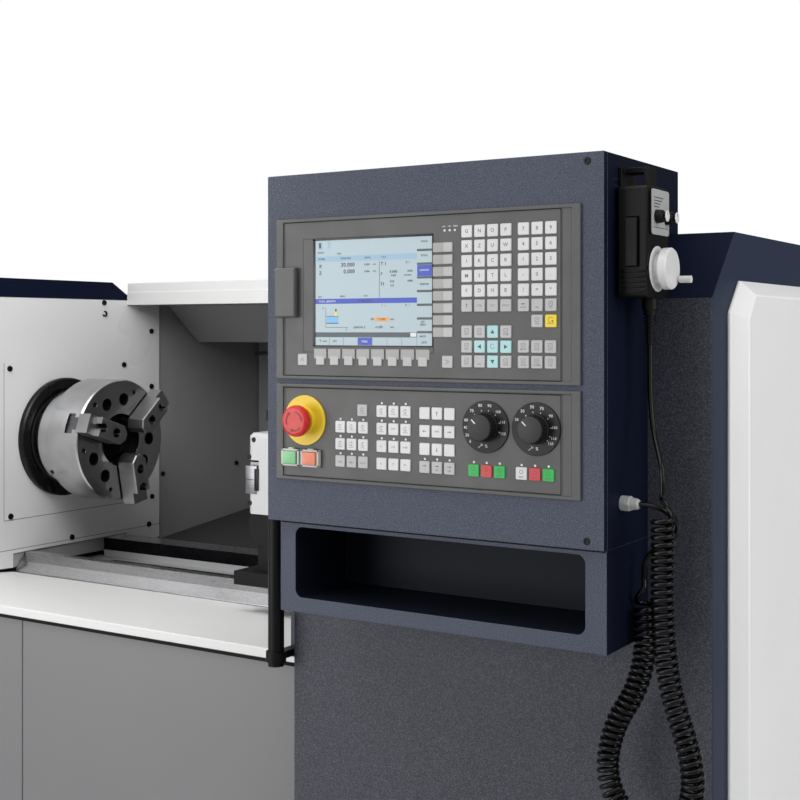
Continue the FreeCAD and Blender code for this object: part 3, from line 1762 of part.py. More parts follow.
upper_areas = [
    (d.screen_right + 1, d.screen_right + 27, d.upper_bottom + 12, d.screen_top + 1),
    (d.screen_left - 6, d.screen_right + 0.5, d.upper_bottom + 12, d.screen_bottom - 1),
    (d.screen_right + 36, d.panel_right - 20, d.upper_bottom + 14, d.upper_top - 12),
]
lower_areas = [
    (d.panel_left + 88, d.panel_left + 264, d.lower_bottom + 14, d.lower_top - 14),
    (d.panel_left + 271, d.panel_left + 392, d.lower_bottom + 14, d.lower_bottom + 38),
]
free_shape(
    "keypads",
    Part.makeCompound(keypad(operator_keys, upper_areas) + keypad(machine_keys, lower_areas)),
)


def on_panel(x, z, front):
    """A place on the panel for a piece that is turned about an axis across it."""
    return (x, front, z)


stem_half = d.head_stem / 2 + d.slide_gap
turned(
    "stop_disc",
    [
        (d.nil, stem_half),
        (d.nil, d.disc_dia / 2),
        (d.disc_thick, d.disc_dia / 2),
        (d.disc_thick, stem_half + 3),
        (d.disc_thick + 6, stem_half + 3),
        (d.disc_thick + 6, stem_half),
    ],
    on_panel(d.stop_x, d.stop_z, field),
    TO_FRONT,
)
head_reach = field - d.head_front
turned(
    "stop_head",
    [
        (-d.door_depth, d.nil),
        (-d.door_depth, d.head_stem / 2),
        (head_reach - d.head_rise, d.head_stem / 2),
        (head_reach - d.head_rise, d.head_dia / 2 - 2),
        (head_reach - d.head_rise + 2, d.head_dia / 2),
        (head_reach - 5, d.head_dia / 2),
        (head_reach - 1, d.head_dia / 2 - 5),
        (head_reach, d.head_dia / 2 - 11),
        (head_reach, d.nil),
    ],
    on_panel(d.stop_x, d.stop_z, field),
    TO_FRONT,
)
bore(
    machine_panel,
    "XZ_Plane",
    [(d.stop_x, d.stop_z, stem_half * 2)],
    panel_face,
    d.door_depth * 2 + d.panel_stand,
)
button_hole = d.button_side + d.slide_gap * 2
for label, x in (("start_button", d.start_x), ("halt_button", d.halt_x)):
    pocket(
        machine_panel,
        "XZ_Plane",
        [
            rectangle(
                x - button_hole / 2,
                x + button_hole / 2,
                d.button_z - button_hole / 2,
                d.button_z + button_hole / 2,
            )
        ],
        panel_face,
        d.panel_stand + d.door_depth,
    )
    button = prism(
        label,
        "XZ_Plane",
        rectangle(
            x - d.button_side / 2,
            x + d.button_side / 2,
            d.button_z - d.button_side / 2,
            d.button_z + d.button_side / 2,
        ),
        panel_face - d.button_rise,
        d.button_rise + d.panel_stand + d.door_depth - d.button_travel - 1,
    )
    front = float(panel_face - d.button_rise)
    dress(button, "Chamfer", 1.5, lambda centre, box, front=front: box.YMax < front + 0.01)

for x in (d.feed_x, d.speed_x):
    boss(machine_panel, "XZ_Plane", [(x, d.dial_z, d.dial_dia)], field - d.dial_rise, d.dial_rise)
for label, x in (("feed_knob", d.feed_x), ("speed_knob", d.speed_x)):
    knob = turned(
        label,
        [
            (d.slide_gap, d.nil),
            (d.slide_gap, d.knob_dia / 2 + 1),
            (size(3), d.knob_dia / 2 + 1),
            (size(4), d.knob_dia / 2),
            (d.knob_rise - 2, d.knob_dia / 2 - 1.5),
            (d.knob_rise, d.knob_dia / 2 - 4),
            (d.knob_rise, d.nil),
        ],
        on_panel(x, d.dial_z, field - d.dial_rise),
        TO_FRONT,
    )
    flute = pocket(
        knob,
        "YZ_Plane",
        [rectangle(d.knob_dia / 2 - 2, d.knob_dia / 2 + 1, size(-1.6), size(1.6))],
        size(4),
        d.knob_rise,
    )
    repeat_round(knob, [flute], 12)

usb = prism(
    "usb_cover",
    "XZ_Plane",
    rectangle(d.usb_left, d.usb_left + d.usb_width, d.usb_bottom, d.usb_bottom + d.usb_height),
    panel_face - d.usb_rise,
    d.usb_rise - d.slide_gap,
)
cover_front = float(panel_face - d.usb_rise)
dress(usb, "Fillet", 2.5, lambda centre, box: box.YMax < cover_front + 0.01)

# ---------------------------------------------------------------- hand unit

unit_front_face = d.unit_x + d.unit_thick
unit_middle = d.unit_front + d.unit_width / 2
bracket = prism(
    "unit_bracket",
    "YZ_Plane",
    rectangle(unit_middle - 22, unit_middle + 22, d.unit_bottom + 20, d.unit_bottom + d.unit_height + 22),
    d.cabinet_right,
    d.unit_x - d.cabinet_right,
)
pad(
    bracket,
    "XZ_Plane",
    [
        [
            (d.unit_x, d.unit_bottom + d.unit_height + 16),
            (d.unit_x, d.unit_bottom + d.unit_height + 22),
            (unit_front_face - 6, d.unit_bottom + d.unit_height + 22),
            (unit_front_face - 6, d.unit_bottom + d.unit_height),
            (unit_front_face - 12, d.unit_bottom + d.unit_height),
            (unit_front_face - 12, d.unit_bottom + d.unit_height + 16),
        ]
    ],
    unit_middle - 12,
    size(24),
)
unit = prism(
    "unit_body",
    "YZ_Plane",
    rectangle(d.unit_front, d.unit_front + d.unit_width, d.unit_bottom, d.unit_bottom + d.unit_height),
    d.unit_x,
    d.unit_thick,
)
dress(unit, "Fillet", 5, lambda centre, box: box.XLength > 10)
bar_low = d.unit_bottom + 34
bar_high = d.unit_bottom + 88
bar_left = d.unit_x + 10
bar_right = d.unit_x + 24
pocket(
    unit,
    "XZ_Plane",
    [rectangle(bar_left, bar_right, bar_low, bar_high)],
    d.unit_front - 1,
    size(9),
)
prism(
    "enable_bar",
    "XZ_Plane",
    rectangle(bar_left + d.slide_gap, bar_right - d.slide_gap, bar_low + d.slide_gap, bar_high - d.slide_gap),
    d.unit_front - 4,
    size(8),
)
ring_rise = 2
boss(
    unit,
    "YZ_Plane",
    [(d.unit_wheel_y, d.unit_wheel_z, d.unit_wheel_dia + 8)],
    unit_front_face,
    size(ring_rise),
)
wheel = turned(
    "unit_wheel",
    [
        (d.slide_gap, d.nil),
        (d.slide_gap, d.unit_wheel_dia / 2 - 6),
        (size(7), d.unit_wheel_dia / 2 - 6),
        (size(8), d.unit_wheel_dia / 2),
        (size(16), d.unit_wheel_dia / 2),
        (size(17.5), d.unit_wheel_dia / 2 - 1.5),
        (size(17.5), d.nil),
    ],
    (unit_front_face + ring_rise, d.unit_wheel_y, d.unit_wheel_z),
)
boss(wheel, "YZ_Plane", [(d.unit_wheel_dia / 3, -d.unit_wheel_dia / 4, 4)], 17, size(4))
boss(wheel, "YZ_Plane", [(d.unit_wheel_dia / 3, -d.unit_wheel_dia / 4, 8)], 20, size(13))
for label, y in (("axis_knob", d.unit_front + 22), ("step_knob", d.unit_front + 52)):
    selector = turned(
        label,
        [
            (d.slide_gap, d.nil),
            (d.slide_gap, d.unit_knob_dia / 2),
            (size(10), d.unit_knob_dia / 2 - 1),
            (size(12), d.unit_knob_dia / 2 - 3),
            (size(12), d.nil),
        ],
        (unit_front_face, y, d.unit_knob_z),
    )
    pointer = rectangle(size(9), size(15), d.nil - 1.2, d.unit_knob_dia / 2 - 1)
    pad(selector, "XY_Plane", [pointer], -1.2, size(2.4))

lead_x = d.unit_x + d.relief_inset_x
lead_y = d.unit_front + d.relief_inset_y
relief = turned(
    "strain_relief",
    [
        (d.nil, d.nil),
        (d.nil, size(9)),
        (size(12), size(9)),
        (size(14), size(7.5)),
        (d.relief_length, d.wire_dia / 2 + 1.2),
        (d.relief_length, d.nil),
    ],
    (lead_x, lead_y, d.unit_bottom),
    Rotation(Vector(0, 1, 0), 90),
)
groove = 2
for index in range(8):
    start = size(19 + 4 * index)
    pocket_sketch = sketch_on(relief, "XY_Plane", d.nil)
    draw_outline(pocket_sketch, rectangle(start, start + groove, d.wire_dia / 2 + 1, size(9)))
    ring = relief.newObject("PartDesign::Groove", "relief_groove_%d" % index)
    ring.Profile = pocket_sketch
    ring.ReferenceAxis = (pocket_sketch, ["H_Axis"])
    ring.Angle = 360
    relief.Tip = ring
doc.recompute()

gland = turned(
    "cable_gland",
    [
        (d.nil, d.wire_dia / 2),
        (d.nil, size(8.5)),
        (size(6), size(8.5)),
        (size(6), size(7)),
        (size(12), size(7)),
        (d.gland_reach - 2, size(6)),
        (d.gland_reach, d.wire_dia / 2 + 1),
        (d.gland_reach, d.wire_dia / 2),
    ],
    (d.cabinet_right, d.gland_y, d.gland_z),
)
hexagon = [
    (9.2 * math.cos(math.radians(60 * k)), 9.2 * math.sin(math.radians(60 * k))) for k in range(6)
]
pad(gland, "YZ_Plane", [hexagon], 6, size(5))
bore(gland, "YZ_Plane", [(d.nil, d.nil, d.wire_dia)], -1, d.gland_reach + 2)

# ---------------------------------------------------------------- cord of the hand unit

# The routes are chosen by hand. lead: strain relief to curls. tail: curls to gland.
LEAD = [
    (1092, -615, 1344.5),
    (1092, -615, 1312),
    (1093.5, -617, 1278),
    (1100, -625, 1248),
    (1112, -639, 1224),
    (1119.5, -648, 1206),
    (1119.5, -648, 1188),
]
CURLS = [
    (1119.5, -648, 1188),
    (1119.5, -648, 1110),
    (1119, -647, 1035),
    (1127, -643, 965),
    (1146, -636, 905),
    (1148.5, -629, 858),
    (1131.8, -620, 817.7),
    (1091.5, -613, 801),
    (1051.2, -609, 817.7),
    (1034.5, -607, 858),
    (1046, -606, 912),
    (1072, -606, 952),
    (1084, -606, 1000),
    (1081.5, -606, 1045),
    (1081.5, -606, 1084),
]
TAIL = [
    (1081.5, -606, 1084),
    (1081.5, -606, 1099),
    (1091, -602.5, 1113),
    (1107, -601.5, 1122),
    (1120, -606, 1134),
    (1125.5, -616, 1146),
    (1120, -626, 1158),
    (1106, -635, 1168),
    (1088, -635, 1168),
]


def corner_arc(before, corner, after):
    """The tangent arc of a route's corner: radius 0.45 of the shorter run over the half turn's tangent."""
    back = before - corner
    ahead = after - corner
    run = min(back.Length, ahead.Length)
    back.normalize()
    ahead.normalize()
    cut_length = 0.45 * run
    half_turn = (math.pi - back.getAngle(ahead)) / 2
    radius = cut_length / math.tan(half_turn)
    start = corner + back * cut_length
    end = corner + ahead * cut_length
    inward = (back + ahead).normalize()
    apex = corner + inward * (radius / math.cos(half_turn) - radius)
    return start, apex, end, radius


def route_edges(points):
    """Straight runs joined by tangent arcs."""
    points = [Vector(*p) for p in points]
    edges = []
    radii = []
    last = points[0]
    for before, corner, after in zip(points, points[1:], points[2:]):
        start, apex, end, radius = corner_arc(before, corner, after)
        edges.append(Part.LineSegment(last, start).toShape())
        edges.append(Part.Arc(start, apex, end).toShape())
        radii.append(radius)
        last = end
    edges.append(Part.LineSegment(last, points[-1]).toShape())
    return edges, radii


def tube(edges, diameter):
    wire = Part.Wire(edges)
    start = edges[0].valueAt(edges[0].FirstParameter)
    heading = edges[0].tangentAt(edges[0].FirstParameter)
    section = Part.Wire(Part.makeCircle(diameter / 2, start, heading))
    solid = wire.makePipeShell([section], True, False)
    expected = math.pi * diameter**2 / 4 * wire.Length
    return solid, expected


def free_cord(label, points):
    edges, radii = route_edges(points)
    solid, expected = tube(edges, float(d.wire_dia))
    free_shape(label, solid)
    print("%s: radii %s, volume %.4f of section times length" % (
        label, " ".join("%.0f" % r for r in radii), solid.Volume / expected))


free_cord("cord_lead", LEAD)
free_cord("cord_tail", TAIL)


def centre_line():
    """The smooth line that the curls wind round: a quadratic spline on the route's points."""
    spline = Part.BSplineCurve()
    poles = [Vector(*p) for p in CURLS]
    spline.buildFromPolesMultsKnots(
        poles,
        [3] + [1] * (len(poles) - 3) + [3],
        [float(k) for k in range(len(poles) - 1)],
        False,
        2,
    )
    return spline


STEPS_A_TURN = 24  # points measured on each turn
ARCS_A_TURN = 2  # biarcs that make a turn
EXIT_RUN = 26  # length in which the cable leaves the line for its first curl, and comes back


def curl_path():
    """Points and tangents of the helix between its two exits, and the ends of the line it winds round."""
    curve = centre_line()
    mean_radius = (float(d.curl_dia) - float(d.wire_dia)) / 2
    lead_in = float(d.wire_dia) + EXIT_RUN
    total = curve.length()
    turns = int((total - 2 * lead_in) / float(d.curl_pitch))
    steps = turns * STEPS_A_TURN
    across = None
    points = []
    for index in range(-1, steps + 2):
        along = lead_in + (total - 2 * lead_in) * index / steps
        where = curve.parameterAtDistance(along, curve.FirstParameter)
        heading = Vector(*curve.tangent(where)[0]).normalize()
        if across is None:
            across = heading.cross(Vector(0, 1, 0))
        across = (across - heading * across.dot(heading)).normalize()
        side = heading.cross(across)
        angle = 2 * math.pi * index / STEPS_A_TURN
        points.append(curve.value(where) + (across * math.cos(angle) + side * math.sin(angle)) * mean_radius)
    headings = [(b - a).normalize() for a, b in zip(points, points[2:])]
    ends = []
    for where in (curve.FirstParameter, curve.LastParameter):
        ends.append((curve.value(where), Vector(*curve.tangent(where)[0]).normalize()))
    return points[1:-1], headings, ends, turns


def biarc(start, start_heading, end, end_heading):
    """Two arcs that leave start and reach end in the given headings."""
    span = end - start
    a = 2 * (start_heading.dot(end_heading) - 1)
    b = -2 * span.dot(start_heading + end_heading)
    reach = (-b - math.sqrt(b * b - 4 * a * span.dot(span))) / (2 * a)
    first = start + start_heading * reach
    second = end - end_heading * reach
    middle = (first + second) / 2
    return [arc_between(start, first, middle), arc_between(middle, second, end)]


def arc_between(start, apex, end):
    """The arc that touches start-apex at start and apex-end at end."""
    chord_middle = (start + end) / 2
    half_chord = (end - start).Length / 2
    rise = (apex - chord_middle).Length
    sagitta = half_chord * math.tan(math.atan2(rise, half_chord) / 2)
    return Part.Arc(start, chord_middle + (apex - chord_middle) * (sagitta / rise), end).toShape()


def least_gap(points, diameter):
    """The least distance between turns, less the wire."""
    turn = STEPS_A_TURN
    count = len(points)
    near_turns = min(
        (points[i] - points[k]).Length
        for i in range(count)
        for k in range(i + int(turn * 0.6), min(count, i + int(turn * 1.6)))
    )
    coarse = points[::4]
    step = int(turn * 1.6) // 4
    far_turns = min(
        (coarse[i] - coarse[k]).Length for i in range(len(coarse)) for k in range(i + step, len(coarse))
    )
    return min(near_turns, far_turns) - diameter


def curly_cord(label):
    """The curls as one unbroken tube."""
    points, headings, ends, turns = curl_path()
    (start, start_heading), (end, end_heading) = ends
    straight = float(d.wire_dia)
    wind_start = start + start_heading * straight
    wind_end = end - end_heading * straight
    edges = [Part.LineSegment(start, wind_start).toShape()]
    edges += biarc(wind_start, start_heading, points[0], headings[0])
    stride = STEPS_A_TURN // ARCS_A_TURN
    for index in range(0, len(points) - stride, stride):
        follower = index + stride
        edges += biarc(points[index], headings[index], points[follower], headings[follower])
    edges += biarc(points[-1], headings[-1], wind_end, end_heading)
    edges.append(Part.LineSegment(wind_end, end).toShape())
    solid, expected = tube(edges, float(d.wire_dia))
    free_shape(label, solid)
    tightest = min(edge.Curve.Radius for edge in edges if hasattr(edge.Curve, "Radius"))
    print("%s: %d curls, least gap to itself %.2f mm" % (label, turns, least_gap(points, straight)))
    print("  tightest arc %.1f mm, wire %.0f mm long" % (tightest, Part.Wire(edges).Length))
    print("  volume %.4f of section times length" % (solid.Volume / expected))


curly_cord("cord_curls")

# ---------------------------------------------------------------- what is written

for piece in doc.Objects:
    if "Invalid" in piece.State or "Error" in piece.State:
        raise RuntimeError("%s: %s" % (piece.Label, piece.State))
os.makedirs("parts", exist_ok=True)
for piece in FINISHED:
    if piece.Shape.isNull() or not piece.Shape.isValid():
        raise RuntimeError(piece.Label + ": its shape isn't valid")
    piece.Shape.exportStep("parts/%s.step" % piece.Label)
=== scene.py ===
"""Turning lathe: finishes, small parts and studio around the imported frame."""

import json
import math

import bmesh
import bpy
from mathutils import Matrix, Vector


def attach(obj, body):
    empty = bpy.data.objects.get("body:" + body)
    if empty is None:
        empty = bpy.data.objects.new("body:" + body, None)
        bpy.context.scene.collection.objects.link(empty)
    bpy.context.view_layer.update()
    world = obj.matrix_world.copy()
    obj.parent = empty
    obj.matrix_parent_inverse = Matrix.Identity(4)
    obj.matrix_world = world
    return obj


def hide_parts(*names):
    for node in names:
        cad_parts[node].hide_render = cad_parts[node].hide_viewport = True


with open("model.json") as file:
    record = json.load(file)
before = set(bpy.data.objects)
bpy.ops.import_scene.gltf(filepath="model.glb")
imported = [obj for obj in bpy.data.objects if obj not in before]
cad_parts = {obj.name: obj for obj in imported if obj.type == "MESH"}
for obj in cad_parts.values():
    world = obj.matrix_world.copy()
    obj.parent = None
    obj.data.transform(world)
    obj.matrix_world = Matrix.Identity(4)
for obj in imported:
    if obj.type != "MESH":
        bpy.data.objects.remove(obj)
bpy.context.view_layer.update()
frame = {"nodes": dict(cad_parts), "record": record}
nodes = frame["nodes"]
MM = 0.001
body_of_node = {n: b for b, names in frame["record"]["behaviour"]["bodies"].items() for n in names}

# The spindle's axis runs along X at this place, in mm.
SPINDLE_Y = 29
SPINDLE_Z = 1130

# Directions of the faces that carry small parts: across, up. The part stands out along across x up.
FRONT = (Vector((1, 0, 0)), Vector((0, 0, 1)))
RIGHT = (Vector((0, 1, 0)), Vector((0, 0, 1)))
BACK = (Vector((-1, 0, 0)), Vector((0, 0, 1)))
LEFT = (Vector((0, -1, 0)), Vector((0, 0, 1)))
TOP = (Vector((1, 0, 0)), Vector((0, 1, 0)))
TO_OPERATOR = (0, -1, 0)
TO_RIGHT = (1, 0, 0)


def add_node(tree, kind, inputs=(), **settings):
    """Adds a node with its settings and its inputs, as values or links, and hands back its outputs."""
    made = tree.nodes.new(kind)
    for name, value in settings.items():
        setattr(made, name, value)
    for socket, value in dict(inputs).items():
        if isinstance(value, bpy.types.NodeSocket):
            tree.links.new(value, made.inputs[socket])
        else:
            made.inputs[socket].default_value = value
    return made.outputs


def new_object(name, data):
    made = bpy.data.objects.new(name, data)
    bpy.context.scene.collection.objects.link(made)
    return made


# ---------------------------------------------------------------- finishes


class Finish:
    """A material built up from the layers that the real surface has, on Object coordinates."""

    def __init__(self, name, colour, roughness, metallic=0.0, **constants):
        self.material = bpy.data.materials.new(name)
        self.material.use_nodes = True
        self.tree = self.material.node_tree
        self.shader = self.tree.nodes["Principled BSDF"]
        self.colour = (colour,) * 3 if isinstance(colour, float) else colour
        self.roughness = roughness
        self.colour_link = None
        self.normal_link = None
        constants.update({"Base Color": (*self.colour, 1), "Roughness": roughness, "Metallic": metallic})
        for socket, value in constants.items():
            self.shader.inputs[socket.replace("_", " ")].default_value = value

    def node(self, kind, inputs=(), **settings):
        return add_node(self.tree, kind, inputs, **settings)

    def place(self, scale=(1, 1, 1), offset=(0, 0, 0)):
        coordinates = self.node("ShaderNodeTexCoord")["Object"]
        inputs = {"Vector": coordinates, "Scale": scale, "Location": offset}
        return self.node("ShaderNodeMapping", inputs)["Vector"]

    def distance(self, where):
        return self.node("ShaderNodeVectorMath", {0: where}, operation="LENGTH")["Value"]

    def noise(self, grain, detail=2.0, stretch=(1, 1, 1)):
        """Noise whose spots are about one grain across."""
        inputs = {"Vector": self.place(stretch), "Scale": 1 / grain, "Detail": detail, "Roughness": 0.6}
        return self.node("ShaderNodeTexNoise", inputs)["Fac"]

    def rings(self, grain):
        """Noise in rings round the spindle's axis, as a turning tool leaves it."""
        away = self.distance(self.place((0, 1, 1), (0, -SPINDLE_Y * MM, -SPINDLE_Z * MM)))
        inputs = {"W": away, "Scale": 1 / grain, "Detail": 2.0}
        return self.node("ShaderNodeTexNoise", inputs, noise_dimensions="1D")["Fac"]

    def turn_normal(self, normal):
        self.normal_link = normal
        self.tree.links.new(normal, self.shader.inputs["Normal"])

    def soft_edges(self, width):
        """Broken edges, caught by the light only. Called before any relief."""
        self.turn_normal(self.node("ShaderNodeBevel", {"Radius": width}, samples=4)["Normal"])

    def relief(self, height, depth):
        inputs = {"Height": height, "Distance": depth, "Strength": 1.0}
        if self.normal_link:
            inputs["Normal"] = self.normal_link
        self.turn_normal(self.node("ShaderNodeBump", inputs)["Normal"])

    def spread(self, mask, low, high, bottom=0.35, top=0.65):
        """The mask's middle range drawn out to low..high."""
        inputs = {"Value": mask, "From Min": bottom, "From Max": top, "To Min": low, "To Max": high}
        return self.node("ShaderNodeMapRange", inputs)["Result"]

    def tint(self, mask, other, bottom=0.35, top=0.65):
        """Turns towards another colour where the mask is high."""
        first = self.colour_link or (*self.colour, 1)
        inputs = {0: self.spread(mask, 0.0, 1.0, bottom, top), 6: first, 7: (*other, 1)}
        self.colour_link = self.node("ShaderNodeMix", inputs, data_type="RGBA")[2]
        self.tree.links.new(self.colour_link, self.shader.inputs["Base Color"])

    def shade(self, mask, factor, bottom=0.35, top=0.65):
        """Turns towards its own colour times a factor where the mask is high."""
        self.tint(mask, [c * factor for c in self.colour], bottom, top)

    def shine(self, mask, change, bottom=0.35, top=0.65):
        """Roughness that varies by change each way."""
        made = self.spread(mask, self.roughness - change, self.roughness + change, bottom, top)
        self.tree.links.new(made, self.shader.inputs["Roughness"])


def wrinkle_paint(name, colour, speckle, grain):
    """Textured powder coat: small grains that each catch the light."""
    finish = Finish(name, colour, 0.42, Specular_IOR_Level=0.32)
    grains = finish.noise(grain, 3.0)
    finish.relief(grains, 0.0007)
    finish.tint(grains, speckle, 0.44, 0.72)
    finish.shine(finish.noise(0.21), 0.05)
    return finish.material


def satin_paint(name, colour, roughness, level=0.5):
    """Sprayed sheet metal: faint orange peel and slow smudges."""
    finish = Finish(name, colour, roughness, Specular_IOR_Level=level)
    finish.relief(finish.noise(0.004, 1.0), 0.00008)
    cloud = finish.noise(0.33)
    finish.shade(cloud, 0.9, 0.1, 0.9)
    finish.shine(cloud, 0.05, 0.1, 0.9)
    return finish.material


def ground_steel(name, colour, roughness, grain=0.0011, depth=0.00006):
    """Ground or milled steel, its fine scratches all along X."""
    along = (0.04, 1, 1)
    finish = Finish(name, colour, roughness, metallic=1.0)
    finish.soft_edges(0.0008)
    scratches = finish.noise(grain, 3.0, along)
    finish.relief(scratches, depth)
    finish.shine(scratches, 0.07)
    finish.shade(finish.noise(0.055, 3.0, along), 0.82)
    return finish.material


def turned_steel(name, colour, roughness):
    """Turned and polished steel with rings round the spindle's axis."""
    finish = Finish(name, colour, roughness, metallic=1.0)
    finish.soft_edges(0.001)
    rings = finish.rings(0.0009)
    finish.relief(rings, 0.00002)
    finish.shine(rings, 0.06)
    finish.shade(finish.noise(0.06), 0.86)
    return finish.material


def moulded_plastic(name, colour, roughness, level=0.4, grain=0.0009, depth=0.00006):
    """Moulded plastic with its fine eroded texture."""
    finish = Finish(name, colour, roughness, Specular_IOR_Level=level)
    finish.soft_edges(0.0006)
    finish.relief(finish.noise(grain, 1.0), depth)
    finish.shine(finish.noise(0.04), 0.04)
    finish.shade(finish.noise(0.09), 0.9)
    return finish.material


def printed(name, colour, glow=0.0):
    """Flat print or a lit picture element."""
    lit = {"Emission_Color": (*colour, 1), "Emission_Strength": glow} if glow else {}
    return Finish(name, colour, 0.4, **lit).material


CABINET_BLUE = wrinkle_paint("cabinet wrinkle paint", (0.040, 0.049, 0.081), (0.115, 0.126, 0.170), 0.0013)
GUARD_BLUE = wrinkle_paint("guard wrinkle paint", (0.028, 0.031, 0.043), (0.112, 0.116, 0.140), 0.0015)
CAP_BLUE = satin_paint("smooth navy paint", (0.005, 0.008, 0.024), 0.6, 0.05)
# A darker copy of the cabinet's navy for its faces towards +X: painted shade on the side.
SHADED_SIDE_NAVY = satin_paint("painted shade on the cabinet side", (0.004, 0.006, 0.018), 0.5, 0.08)
FRAME_BLUE = satin_paint("frame blue paint", (0.023, 0.032, 0.061), 0.5, 0.12)
# Far darker navy for the inside of the pocket: painted shade in the recess.
POCKET_SHADE = satin_paint("painted shade inside the pocket", (0.005, 0.007, 0.014), 0.5, 0.15)
COVER_WHITE = satin_paint("end cover white", 0.93, 0.36)
SHEET_WHITE = satin_paint("sill white", (0.86, 0.86, 0.85), 0.34)
BEAM_WHITE = satin_paint("beam white", (0.66, 0.66, 0.655), 0.4)
PLATE_LIGHT = satin_paint("wall plate light grey", 0.76, 0.30)
POST_WHITE = satin_paint("tool post face", (0.48, 0.48, 0.485), 0.36)
STRIP_LIGHT = satin_paint("strip under the rear way", 0.42, 0.34)
WALL_GREY = satin_paint("work space grey", (0.30, 0.30, 0.302), 0.36)
BASE_GREY = satin_paint("base panel grey", (0.19, 0.19, 0.195), 0.4)
CASTING_GREY = satin_paint("casting paint", (0.32, 0.33, 0.34), 0.5)
GUIDE_GREY = satin_paint("chip guide grey", (0.040, 0.040, 0.041), 0.45, 0.2)
WHEEL_SILVER = satin_paint("satin aluminium", 0.74, 0.26)
LABEL_SILVER = satin_paint("label foil", (0.42, 0.43, 0.43), 0.35)
WAY_STEEL = ground_steel("polished ways", (0.50, 0.50, 0.51), 0.24, 0.0007, 0.000015)
# A darker copy of the way steel for the front way's upper facets: painted shade. It also draws the guide lines
# on the chuck's face.
SHADED_WAY_AND_LINES = ground_steel("upper way facet in painted shade, chuck lines", (0.30, 0.30, 0.305), 0.26, 0.0007, 0.000015)
JAW_STEEL = ground_steel("ground jaw steel", (0.36, 0.36, 0.365), 0.38, 0.0006, 0.000008)
MASTER_STEEL = ground_steel("master jaw steel", (0.16, 0.16, 0.165), 0.34)
TOOL_STEEL = ground_steel("tool steel", (0.22, 0.22, 0.23), 0.34)
CHUCK_STEEL = turned_steel("turned chuck steel", (0.56, 0.56, 0.57), 0.24)
# A darker copy of the chuck steel for the chuck's face: painted shade.
SHADED_FACE_STEEL = turned_steel("chuck face steel in painted shade", (0.34, 0.34, 0.345), 0.2)
SHAFT_STEEL = turned_steel("shaft steel", (0.55, 0.55, 0.56), 0.2)
RING_BLACK = moulded_plastic("blackened ring", 0.006, 0.3, 0.2)
# Black screws and parts. The same black is also painted into bores, slots and hollows as their shade.
BLACK_PARTS_AND_HOLLOW_SHADE = moulded_plastic("black parts and painted hollow shade", 0.004, 0.35, 0.2)
SLIDE_BLACK = moulded_plastic("blackened slide", 0.004, 0.5, 0.15)
# The way cover's black, also painted on the rear way's side as its dark reflection.
BLACK_COVER_AND_REFLECTION = moulded_plastic("way cover black and painted dark reflection", (0.004, 0.004, 0.005), 0.26, 0.2, 0.003)
UNIT_BLACK = moulded_plastic("hand unit plastic", 0.004, 0.4, 0.16)
RUBBER = moulded_plastic("cord rubber", 0.002, 0.2, 0.22, 0.002, 0.00003)
GLAND_GREY = moulded_plastic("gland plastic", (0.52, 0.53, 0.53), 0.35)
PANEL_GREY = moulded_plastic("panel plastic", (0.088, 0.088, 0.087), 0.45)
FIELD_GREY = moulded_plastic("panel field", (0.094, 0.095, 0.094), 0.5)
# Dark lines of painted shade in grooves and painted shadow under edges; also the dark marks on the chuck.
SHADE_LINES_AND_MARKS = moulded_plastic("painted groove shade and dark marks", 0.008, 0.6, 0.1)
KEY_WHITE = moulded_plastic("white keys", 0.76, 0.4)
KEY_GREY = moulded_plastic("grey keys", 0.52, 0.4)
KEY_SHADE = moulded_plastic("dark half of the soft keys", (0.40, 0.40, 0.39), 0.4)
KEY_CYAN = moulded_plastic("cursor keys", (0.45, 0.72, 0.74), 0.4)
KEY_YELLOW = moulded_plastic("input key", (0.95, 0.70, 0.03), 0.4)
KEY_GREEN = moulded_plastic("green keys", (0.02, 0.47, 0.08), 0.4)
KEY_RED = moulded_plastic("red keys", (0.66, 0.06, 0.07), 0.4)
STOP_YELLOW = moulded_plastic("emergency yellow", (0.88, 0.64, 0.03), 0.38)
STOP_RED = moulded_plastic("emergency red", (0.66, 0.025, 0.02), 0.28)
STOP_MARK = moulded_plastic("arrows on the red head", (0.30, 0.012, 0.010), 0.4)
LENS_GREEN = moulded_plastic("green lens", (0.25, 0.62, 0.30), 0.3)
LENS_ORANGE = moulded_plastic("orange lens", (0.86, 0.27, 0.15), 0.3)
BEZEL_CLEAR = moulded_plastic("clear bezel", (0.55, 0.55, 0.53), 0.22)
BEZEL_BLACK = moulded_plastic("screen bezel", (0.008, 0.008, 0.009), 0.3)
DIAL_BLACK = moulded_plastic("dial black", 0.010, 0.4, 0.25)
KNOB_FACE = moulded_plastic("knob face", (0.035, 0.035, 0.036), 0.5, 0.3)
PRINT_WHITE = printed("white print", 0.80)
PRINT_DARK = printed("dark print", (0.03, 0.03, 0.032))
PRINT_SOFT = printed("key print", 0.10)
